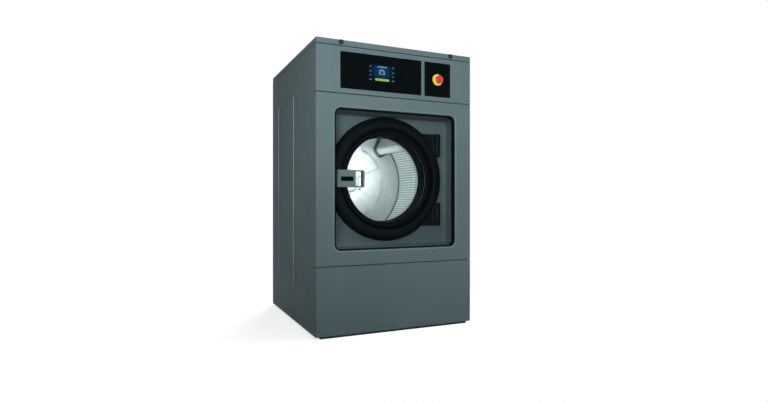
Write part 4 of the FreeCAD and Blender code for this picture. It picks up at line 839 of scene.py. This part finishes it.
def side_sheet(name, node, sign):
    """One side's sheet with its two fields; sign is the side it faces along X."""
    low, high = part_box(node)
    face_x = high.x if sign > 0 else low.x
    cuts_y, cuts_z = [low.y, *PRESS_Y, high.y], [low.z, *PRESS_Z, high.z]
    verts, faces, index = [], [], {}

    def point(y, z, depth=0.0):
        key = (round(y, 6), round(z, 6), round(depth, 6))
        if key not in index:
            index[key] = len(verts)
            verts.append((face_x - sign * depth, y, z))
        return index[key]

    def corners(y0, y1, z0, z1, depth=0.0):
        return [point(y0, z0, depth), point(y1, z0, depth), point(y1, z1, depth), point(y0, z1, depth)]

    for column, (y0, y1) in enumerate(zip(cuts_y, cuts_y[1:])):
        for row, (z0, z1) in enumerate(zip(cuts_z, cuts_z[1:])):
            rim = corners(y0, y1, z0, z1)
            if row != 1 or column not in (1, 3):
                faces.append(rim)
                continue
            field = corners(y0 + PRESS_SLOPE, y1 - PRESS_SLOPE, z0 + PRESS_SLOPE, z1 - PRESS_SLOPE,
                            PRESS_DEPTH)
            faces.append(field)
            faces += [(rim[i], rim[(i + 1) % 4], field[(i + 1) % 4], field[i]) for i in range(4)]
    back = len(verts)
    verts += [(x - sign * SHEET, y, z) for x, y, z in verts]
    faces += [tuple(back + i for i in sheet_face) for sheet_face in faces]
    edge_places = [(y, low.z) for y in cuts_y] + [(high.y, z) for z in cuts_z[1:]]
    edge_places += [(y, high.z) for y in reversed(cuts_y[:-1])] + [(low.y, z) for z in reversed(cuts_z[1:-1])]
    edge = [point(y, z) for y, z in edge_places]
    faces += [(here, there, back + there, back + here) for here, there in zip(edge, edge[1:] + edge[:1])]
    panel = add_piece(name, (verts, faces), coat_grey, "cabinet", [node], sharp=30)
    # The slopes get the paler coat: painted highlight lines along the fields' edges.
    panel.data.materials.append(coat_press_painted_highlight)
    for sheet_face in panel.data.polygons:
        if SLOPED[0] < abs(sheet_face.normal.x) < SLOPED[1]:
            sheet_face.material_index = 1
    round_off = panel.modifiers.new("pressed_edges", "BEVEL")
    round_off.width = PRESS_ROUND
    round_off.segments = 2
    round_off.limit_method = "ANGLE"
    round_off.angle_limit = radians(25)
    round_off.harden_normals = True


side_sheet("left_side_pressed", "left_side_panel", -1)
side_sheet("right_side_pressed", "right_side_panel", 1)

# Back panel: one powder-coated sheet with two banks of pressed louvres, screwed to the posts.
# The louvres are hoods pushed outwards over each slot.
dress(coat_grey, "back_panel")
back_low, back_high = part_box("back_panel")
HOODS, HOOD_Z, HOOD_PITCH = 7, 0.420, 0.022
BANK_X, HOOD_HALF, HOOD_END, HOOD_SHEET = 0.240, 0.060, 0.004, 0.0012
hood_scoop = [(0.0, 0.0115), (0.0022, 0.0105), (0.0042, 0.0085), (0.0055, 0.0055), (0.0062, 0.0015)]


def louvre_hood(middle, z0):
    """One hood over its slot: an inner and an outer skin of points, closed along their edges."""
    left, right = middle - HOOD_HALF, middle + HOOD_HALF
    ends = [(left - HOOD_END, 0.0), (left, 0.75), (left + HOOD_END, 1.0),
            (right - HOOD_END, 1.0), (right, 0.75), (right + HOOD_END, 0.0)]
    verts, faces = [], []
    for out_by, lift in ((0.0, 0.0), (HOOD_SHEET, 0.0001)):
        verts += [(x, back_high.y + (reach + out_by) * share + lift, z0 + height)
                  for reach, height in hood_scoop for x, share in ends]
    rows, columns = len(hood_scoop), len(ends)
    skin = rows * columns
    for row in range(rows - 1):
        for column in range(columns - 1):
            for here in (row * columns + column, skin + row * columns + column):
                faces.append((here, here + 1, here + columns + 1, here + columns))
        for here in (row * columns, row * columns + columns - 1):
            faces.append((here, here + columns, here + columns + skin, here + skin))
    for column in range(columns - 1):
        for here in (column, (rows - 1) * columns + column):
            faces.append((here, here + 1, here + 1 + skin, here + skin))
    return verts, faces


hoods = joined(louvre_hood(side * BANK_X, HOOD_Z + HOOD_PITCH * step)
               for side in (-1, 1) for step in range(HOODS))
add_piece("back_louvre_hoods", hoods, coat_grey, "cabinet", sharp=50)

# Panel screws: zinc-plated steel screws with domed heads and a round drive recess.
# Five down each side hold the back panel to the corner posts.
screw_low, screw_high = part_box("panel_screws")
SCREW_RADIUS, SCREWS = 0.006, 5
screw_head = from_y(back_high.y, (AT_AXIS, 0.0018), (0.0016, 0.0018), (0.0022, 0.0029), (0.0040, 0.0024),
                    (0.0054, 0.0014), (SCREW_RADIUS, 0.0002), (SCREW_RADIUS, 0), (AT_AXIS, 0))
screw_columns = (screw_low.x + SCREW_RADIUS, screw_high.x - SCREW_RADIUS)
screw_run = screw_high.z - screw_low.z - 2 * SCREW_RADIUS
screw_rows = [screw_low.z + SCREW_RADIUS + screw_run * step / (SCREWS - 1) for step in range(SCREWS)]
screws = joined(turned(screw_head, x, z, steps=16) for x in screw_columns for z in screw_rows)
add_piece("panel_screws_domed", screws, zinc_plate, "cabinet", ["panel_screws"])

# Rear connections: brass inlet valves with hose threads, a vent pipe, the drain outlet and the cable gland.
# Threads are cut, and the plastic ends have a rolled bead that holds a hose clip.
brass_turned = plated("brass_turned", (0.50, 0.36, 0.13), 0.3)
inlet_low, inlet_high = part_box("inlet_valves")
INLET_X, INLET_Z, INLET_BORE = 0.120, 0.995, 0.009
THREADS, THREAD_START, THREAD_PITCH = 10, 0.003, 0.0023
inlet_profile = from_y(inlet_low.y, (INLET_BORE, 0), (0.016, 0), (0.016, 0.040), (0.022, 0.041))
inlet_profile += from_y(back_low.y, (0.022, -0.0005), (0.0126, 0))
inlet_profile += from_y(back_high.y, (0.0126, 0), (0.0126, 0.0015))
for thread in range(THREADS):
    crest = back_high.y + THREAD_START + THREAD_PITCH * thread
    inlet_profile += from_y(crest, (0.0132, 0), (0.0121, THREAD_PITCH / 2))
inlet_profile += from_y(inlet_high.y, (0.0118, -0.0004), (0.0112, 0), (INLET_BORE, 0))
inlets = joined(turned(inlet_profile, side * INLET_X, INLET_Z, steps=48) for side in (-1, 1))
add_piece("inlet_valves_threaded", inlets, brass_turned, "cabinet", ["inlet_valves"], sharp=25)
vent_low, vent_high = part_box("vent_pipe")
VENT_X, VENT_Z, VENT_BORE, VENT_RADIUS = -0.230, 0.905, 0.022, 0.0244
vent_profile = from_y(vent_low.y, (VENT_BORE, 0), (VENT_RADIUS, 0)) + [(VENT_RADIUS, back_high.y)]
vent_profile += from_y(vent_high.y, (VENT_RADIUS, -0.009), (0.0250, -0.0075), (0.0250, -0.0035), (0.0240, 0),
                       (VENT_BORE, 0))
add_piece("vent_pipe_beaded", turned(vent_profile, VENT_X, VENT_Z, steps=64), grey_moulding, "cabinet",
          ["vent_pipe"])
dress(grey_moulding, "drain_valve_body")
gland_low, gland_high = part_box("cable_gland")
GLAND_X, GLAND_Z, GLAND_BORE = -0.270, 1.160, 0.007
NUT_START, NUT_END = 0.0005, 0.0105


def hexagon(angle, y):
    """Flats of a nut, as a change of the turned radius."""
    if not back_high.y + NUT_START < y < back_high.y + NUT_END:
        return 0.0
    return cos(radians(30)) / cos((angle % radians(60)) - radians(30)) - 1


gland_profile = from_y(gland_low.y, (GLAND_BORE, 0), (0.012, 0))
gland_profile += from_y(back_high.y, (0.012, 0), (0.0178, 0), (0.0179, 0.001), (0.0179, 0.010),
                        (0.0140, 0.011), (0.0150, 0.012))
gland_profile += from_y(gland_high.y, (0.0150, -0.006), (0.0138, -0.002), (0.0110, 0), (GLAND_BORE, 0))
add_piece("cable_gland_nut", turned(gland_profile, GLAND_X, GLAND_Z, 72, hexagon), black_moulding, "cabinet",
          ["cable_gland"], sharp=30)

# Top cover: a shallow tray folded from coated sheet and turned over, which closes the cabinet.
# Two dark clips hook over its front edge.
lid_low, lid_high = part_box("top_cover")
LID_FOLD, LID_CORNER = 0.004, 0.005


def lid_loop(shrink, z):
    return lying(z, outline(lid_low.x + shrink, lid_high.x - shrink, lid_low.y + shrink, lid_high.y - shrink,
                            max(LID_CORNER - shrink, 0.001), 6))


def lid_skin(inset):
    """Loops from the lid's top round its fold to its lower edge; inset is the sheet for the inside."""
    loops = [lid_loop(inset + out, lid_high.z - inset - back)
             for out, back in bends(LID_FOLD - inset, FOLD_STEPS)]
    return loops + [lid_loop(inset, lid_low.z)]


lid = lofted(lid_skin(SHEET) + lid_skin(0.0)[::-1])
top_cover = add_piece("top_cover_folded", lid, coat_grey, "cabinet", ["top_cover"], sharp=60)
even_normals(top_cover)
clip_low, clip_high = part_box("lid_clips")
CLIP_WIDTH, CLIP_CORNER = 0.022, 0.006
dark_moulding = moulded("dark_moulding", (0.018, 0.036, 0.036), 0.5, specular=0.05)
clip_steps = [(0.0, clip_high.y), *from_y(clip_low.y, (0.0, 0.0012), (0.0004, 0.0004), (0.0012, 0))]


def lid_clip(left):
    right = left + CLIP_WIDTH
    return lofted([upright(y, left + shrink, right - shrink, clip_low.z + shrink, clip_high.z - shrink,
                           CLIP_CORNER - shrink, 6) for shrink, y in clip_steps])


clips = joined(lid_clip(left) for left in (clip_low.x, clip_high.x - CLIP_WIDTH))
add_piece("lid_clips_moulded", clips, dark_moulding, "cabinet", ["lid_clips"], sharp=50)

# Door frame: a flat stainless ring behind the door's moulding, cut from sheet.
# It carries the glass, the hinge ears and the latch.
# The frame takes the tub's darkened steel, painted shade over its inner edge seen through the glass.
dress(tub_steel_painted_shade, "door_frame")

# Door ring: a domed black moulding that covers the frame, with two ears over the hinge knuckles.
# Satin plastic with a fine texture and a rolled inner edge.
ring_black = moulded("ring_black", (0.0050, 0.0084, 0.0098), 0.48, 0.00005, 0.03)


def depth_y(depth):
    """The Y of a depth in millimetres behind the front face."""
    return FRONT + depth / 1000


def door_profile(*points):
    """A profile of the door from its radius and its depth behind the front face, in millimetres."""
    return [(radius / 1000, depth_y(depth)) for radius, depth in points]


ring_profile = door_profile(
    (298, 135), (298, 130), (297.2, 126.8), (295, 122.6), (291.5, 118), (287, 113.6), (281.5, 109.6),
    (276, 106.8), (270, 105), (263, 104.1), (256, 104), (250.5, 104.3), (247.8, 105.2), (246.4, 106.8),
    (246, 109.5), (246, 130), (250, 130), (250, 109.5), (256, 108), (266, 108.6), (274, 110.8), (281, 114.6),
    (286.5, 119.4), (290.5, 124.4), (293.6, 129.6), (294, 135))
door_ring = add_piece("door_ring_moulded", turned(ring_profile, steps=192), ring_black, "door",
                      ["door_ring"], sharp=50)
latch_low, latch_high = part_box("latch_housing")
LATCH_GAP, LATCH_PAST, LATCH_FRONT, LATCH_BACK = 0.0003, 0.004, depth_y(98), depth_y(131)
cut_box(door_ring, (latch_low.x - LATCH_GAP, LATCH_FRONT, latch_low.z - LATCH_GAP),
        (latch_high.x + LATCH_PAST, LATCH_BACK, latch_high.z + LATCH_GAP))
HINGE_X, HINGE_Y, COVER_RADIUS = 0.268, depth_y(104), 0.014
EAR_LOW, EAR_HIGH, EAR_ROUND, EAR_STEPS = 0.114, 0.227, 0.005, 20
ROOT_RADIUS, COVER_TURN, COVER_STEPS = 0.272, 145, 13
EAR_BACK, SLOT_FRONT, SLOT_BACK = depth_y(129.7), depth_y(93.4), depth_y(137)
SLOT_LEFT, SLOT_RIGHT, SLOT_LOW, SLOT_HIGH = 0.2535, 0.320, 0.1438, 0.1972


def ear_section(height, inset):
    """The ear cut at a height above the axis: a flat root that rises to a cover round the pin."""
    reach = COVER_RADIUS - inset
    root = sqrt(ROOT_RADIUS ** 2 - height ** 2)
    section = [(root, EAR_BACK), (HINGE_X + reach, EAR_BACK)]
    for step in range(COVER_STEPS + 1):
        angle = radians(COVER_TURN * step / COVER_STEPS)
        section.append((HINGE_X + reach * cos(angle), HINGE_Y - reach * sin(angle)))
    rise = [(0.2535, 99.5), (0.2495, 106), (0.2455, 109.6), (0.2400, 111.4), (0.2330, 112), (root, 112)]
    return section + [(x, depth_y(depth) + inset) for x, depth in rise]


ear_ends = bends(EAR_ROUND, FOLD_STEPS)
straight = [EAR_LOW + (EAR_HIGH - EAR_LOW) * step / EAR_STEPS for step in range(1, EAR_STEPS)]
ear_cuts = [(EAR_LOW + into, inset) for inset, into in ear_ends]
ear_cuts += [(height, 0.0) for height in straight if EAR_LOW + EAR_ROUND < height < EAR_HIGH - EAR_ROUND]
ear_cuts += [(EAR_HIGH - into, inset) for inset, into in reversed(ear_ends)]
ears = joined(lofted([lying(AXIS + side * height, ear_section(height, inset)) for height, inset in ear_cuts])
              for side in (-1, 1))
door_ears = add_piece("door_ring_ears", ears, ring_black, "door", sharp=40)
for side in (-1, 1):
    slot_low, slot_high = sorted((AXIS + side * SLOT_LOW, AXIS + side * SLOT_HIGH))
    for piece in (door_ring, door_ears):
        cut_box(piece, (SLOT_LEFT, SLOT_FRONT, slot_low), (SLOT_RIGHT, SLOT_BACK, slot_high))

# Glass bezel: a black moulded ring inside the door ring, with a smooth lip towards the drum.
# It clamps the flange of the glass to the door frame.
bezel_black = moulded("bezel_black", (0.0034, 0.0050, 0.0066), 0.42, 0.00003, 0.02)
bezel_profile = door_profile(
    (209, 120.5), (209.6, 118.6), (212, 117), (219, 115.8), (226, 115.1), (230.5, 115.4), (233.5, 117.4),
    (235.2, 121), (236.6, 124.2), (239, 124.9), (245.5, 125), (245.5, 130), (231.4, 130), (231.4, 124.8),
    (209, 124.8))
add_piece("glass_bezel_ring", turned(bezel_profile, steps=160), bezel_black, "door",
          ["glass_bezel"], sharp=50)

# Door glass: a clear bowl pressed from thick glass, whose floor reaches into the drum.
# Its flange is clamped between the bezel and the seal on the frame.
clear_glass = Finish("clear_glass")
clear_glass.tone(clear_glass.grain(5, 3), (0.020, 0.032, 0.036), (0.028, 0.042, 0.046))
clear_glass.gloss(clear_glass.grain(12, 3), 0.02, 0.05)
clear_glass.shader.inputs["Alpha"].default_value = 0.06
clear_glass.shader.inputs["Specular IOR Level"].default_value = 0.5
glass_profile = door_profile(
    (226, 125), (226, 130), (211.5, 130), (209.4, 131.5), (196, 190), (193, 199), (186.5, 203.6),
    (176, 206.5), (120, 213.4), (60, 217.8), (0.1, 219), (0.1, 214), (60, 212.8), (118, 208.4),
    (174, 201.6), (183, 199), (188, 195), (191, 189), (204.4, 130), (205, 125))
add_piece("door_glass_bowl", turned(glass_profile, steps=160), clear_glass.material, "door",
          ["door_glass"], sharp=60)

# Latch housing: a black moulding on the door frame at the side away from the hinges.
# It holds the pin that the handle turns on.
dress(black_moulding, "latch_housing")

# Handle: a grey moulded plate with a finger window, two ears on the pin and a tongue that reaches the lock.
# The window's inner walls are black, and a plain black inlay is let into the plate.
handle_low, handle_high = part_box("door_handle")
handle_grey = moulded("handle_grey", (0.118, 0.168, 0.172), 0.5, 0.00004, 0.05)
plate_left, plate_right = -0.273, handle_high.x
plate_front, plate_rear = handle_low.y, depth_y(87)
HANDLE_ROUND, HANDLE_CORNER, WALL_MARGIN, HANDLE_POINTS = 0.0016, 0.004, 0.0005, (6, 2)
WINDOW_LEFT, WINDOW_RIGHT, WINDOW_FRAME, WINDOW_CORNER = -0.184, -0.151, 0.006, 0.0025


def handle_loop(shrink, y):
    """The plate's outline, drawn in all round."""
    return upright(y, plate_left + shrink, plate_right - shrink, handle_low.z + shrink,
                   handle_high.z - shrink, HANDLE_CORNER, *HANDLE_POINTS)


def window_loop(grow, y):
    """The outline of the finger window, grown all round."""
    return upright(y, WINDOW_LEFT - grow, WINDOW_RIGHT + grow, handle_low.z + WINDOW_FRAME - grow,
                   handle_high.z - WINDOW_FRAME + grow, WINDOW_CORNER, *HANDLE_POINTS)


handle_steps = ((1, plate_rear, 0), (0.3, plate_rear, -0.3), (0, plate_rear, -1), (0, plate_front, 1),
                (0.3, plate_front, 0.3), (1, plate_front, 0))
window_steps = ((0.6, plate_front, 0), (0.15, plate_front, 0.2), (0, plate_front, 0.7), (0, plate_rear, -0.6),
                (0.6, plate_rear, 0))
handle_loops = [handle_loop(HANDLE_ROUND * shrink, y + HANDLE_ROUND * into)
                for shrink, y, into in handle_steps]
handle_loops += [window_loop(HANDLE_ROUND * grow, y + HANDLE_ROUND * into) for grow, y, into in window_steps]
PIN_X, PIN_Y, PIN_EAR, EAR_NEAR, EAR_FAR = -0.268, depth_y(100), 0.008, 0.0152, 0.0262
TONGUE_LEFT, TONGUE_RIGHT, TONGUE_HALF, TONGUE_END = -0.276, -0.266, 0.006, depth_y(160)
root_y = plate_rear - 0.001
tongue = block((TONGUE_LEFT, root_y, AXIS - TONGUE_HALF), (TONGUE_RIGHT, TONGUE_END, AXIS + TONGUE_HALF))
pin_ear = [(PIN_X - PIN_EAR, root_y), (PIN_X + PIN_EAR, root_y)]
pin_ear += [(PIN_X + PIN_EAR * cos(radians(turn)), PIN_Y + PIN_EAR * sin(radians(turn)))
            for turn in range(0, 181, 15)]
pin_ears = [lofted([lying(AXIS + start, pin_ear), lying(AXIS + end, pin_ear)])
            for start, end in ((EAR_NEAR, EAR_FAR), (-EAR_FAR, -EAR_NEAR))]
handle_shape = joined([lofted(handle_loops, True), tongue, *pin_ears])
handle = add_piece("door_handle_moulded", handle_shape, handle_grey, "handle",
                   ["door_handle"], sharp=50)
handle.data.materials.append(black_moulding)
for face in handle.data.polygons:
    x, y, z = face.center
    across = WINDOW_LEFT - WALL_MARGIN < x < WINDOW_RIGHT + WALL_MARGIN
    upward = handle_low.z + WINDOW_FRAME - 2 * WALL_MARGIN < z < handle_high.z - WINDOW_FRAME + 2 * WALL_MARGIN
    if across and upward and plate_front + HANDLE_ROUND / 2 < y < plate_rear:
        face.material_index = 1
even_normals(handle)
INLAY_LEFT, INLAY_RIGHT, INLAY_DOWN, INLAY_UP, INLAY_CORNER = -0.257, -0.195, 0.0155, 0.0055, 0.005
inlay = [upright(plate_front + into, INLAY_LEFT + shrink, INLAY_RIGHT - shrink, AXIS - INLAY_DOWN + shrink,
                 AXIS + INLAY_UP - shrink, INLAY_CORNER - shrink, 6)
         for shrink, into in ((0, 0.0008), (0, -0.0001), (0.0003, -0.0004), (0.0008, -0.0005))]
add_piece("door_handle_inlay", lofted(inlay), black_gloss, "handle", sharp=50)

# Floor and light: a pale floor, a white surround and six soft lamps.
# The white is only what is seen directly; the lamps and a dim ambient light do the lighting.
FLOOR_HALF = 15
floor_corners = [(-FLOOR_HALF, -FLOOR_HALF, 0), (FLOOR_HALF, -FLOOR_HALF, 0), (FLOOR_HALF, FLOOR_HALF, 0),
                 (-FLOOR_HALF, FLOOR_HALF, 0)]
floor_mesh = bpy.data.meshes.new("floor")
floor_mesh.from_pydata(floor_corners, [], [(0, 1, 2, 3)])
floor = placed("floor", floor_mesh)


def seen_directly(tree):
    """1 for what the camera sees straight, in a reflection or through glass."""
    paths = add_node(tree, "LightPath")
    seen = paths.outputs["Is Camera Ray"]
    for kind in ("Is Glossy Ray", "Is Transmission Ray"):
        either = add_node(tree, "Math", feeds={0: seen, 1: paths.outputs[kind]})
        either.operation = "MAXIMUM"
        seen = either.outputs["Value"]
    return seen


def blended(tree, fac, first, second):
    """Two shaders mixed by a factor."""
    return add_node(tree, "MixShader", feeds={"Fac": fac, 1: first, 2: second}).outputs["Shader"]


def pale_floor():
    """A pale floor that shows the machine's shadow and fades to white round it."""
    pale = Finish("pale_floor")
    tree, plain = pale.tree, pale.shader.outputs["BSDF"]
    pale.tone(pale.grain(1.5, 2), (0.86, 0.86, 0.86), (0.88, 0.88, 0.88))
    pale.shader.inputs["Roughness"].default_value = 0.9
    pale.shader.inputs["Specular IOR Level"].default_value = 0.0
    lift = add_node(tree, "Emission", {"Strength": 0.70}).outputs["Emission"]
    white = add_node(tree, "Emission", {"Strength": 1.0}).outputs["Emission"]
    lifted = add_node(tree, "AddShader", feeds={0: plain, 1: lift}).outputs["Shader"]
    away = add_node(tree, "VectorMath", feeds={0: pale.place})
    away.operation = "LENGTH"
    fade = add_node(tree, "MapRange", {"From Min": 0.55, "From Max": 1.30}, {"Value": away.outputs["Value"]})
    fade.interpolation_type = "SMOOTHSTEP"
    shown = blended(tree, fade.outputs["Result"], lifted, white)
    surface = blended(tree, seen_directly(tree), plain, shown)
    tree.links.new(surface, tree.nodes["Material Output"].inputs["Surface"])
    return pale.material


floor_mesh.materials.append(pale_floor())
world = bpy.data.worlds.new("studio")
bpy.context.scene.world = world
world.use_nodes = True
sky = world.node_tree
sky.nodes.clear()
ambient = add_node(sky, "Background", {"Color": (0.88, 0.97, 1.0, 1), "Strength": 0.13}).outputs["Background"]
backdrop = add_node(sky, "Background", {"Color": (1, 1, 1, 1), "Strength": 1.0}).outputs["Background"]
add_node(sky, "OutputWorld", feeds={"Surface": blended(sky, seen_directly(sky), ambient, backdrop)})


def soft_lamp(name, place, aim, power, size, beam=180):
    """A round area lamp; a beam under 180 degrees is held in by a grid."""
    lamp = bpy.data.lights.new(name, "AREA")
    lamp.spread = radians(beam)
    lamp.energy = power
    lamp.shape = "DISK"
    lamp.size = size
    holder = placed(name, lamp)
    holder.location = place
    holder.rotation_mode = "QUATERNION"
    holder.rotation_quaternion = (Vector(aim) - Vector(place)).to_track_quat("-Z", "Y")
    holder.visible_camera = False


soft_lamp("key", (-0.05, -1.15, 2.6), (0, -0.42, 0.9), 12, 1.4)
soft_lamp("fill_front", (-1.3, -3.0, 1.0), (0, -0.42, 1.25), 8.2, 1.2, 60)
soft_lamp("edge", (2.5, -1.4, 1.2), (0, -0.42, 0.7), 24, 0.8)
soft_lamp("rake", (-0.95, -1.2, 1.5), (-0.394, -0.42, 1.0), 0.5, 0.4, 70)
soft_lamp("fill_back", (1.5, 3.2, 2.6), (0, 0.4, 0.9), 15, 2.0, 70)
soft_lamp("drum_glow", (0.08, -0.10, 0.77), (-0.02, 0.236, 0.77), 0.95, 0.36, 140)

# Camera: the photograph's own viewpoint, level, from the machine's left front.
# Its place, turn and lens were solved from the perspective of the cabinet's edges.
camera = bpy.data.cameras.new("camera")
camera.lens = 24.35
camera.sensor_width = 36.0
viewpoint = placed("camera", camera)
viewpoint.location = (-1.0484, -2.5717, 0.599)
viewpoint.rotation_euler = (pi / 2, 0, -0.426)
bpy.context.scene.camera = viewpoint
bpy.context.scene.view_settings.view_transform = "Standard"
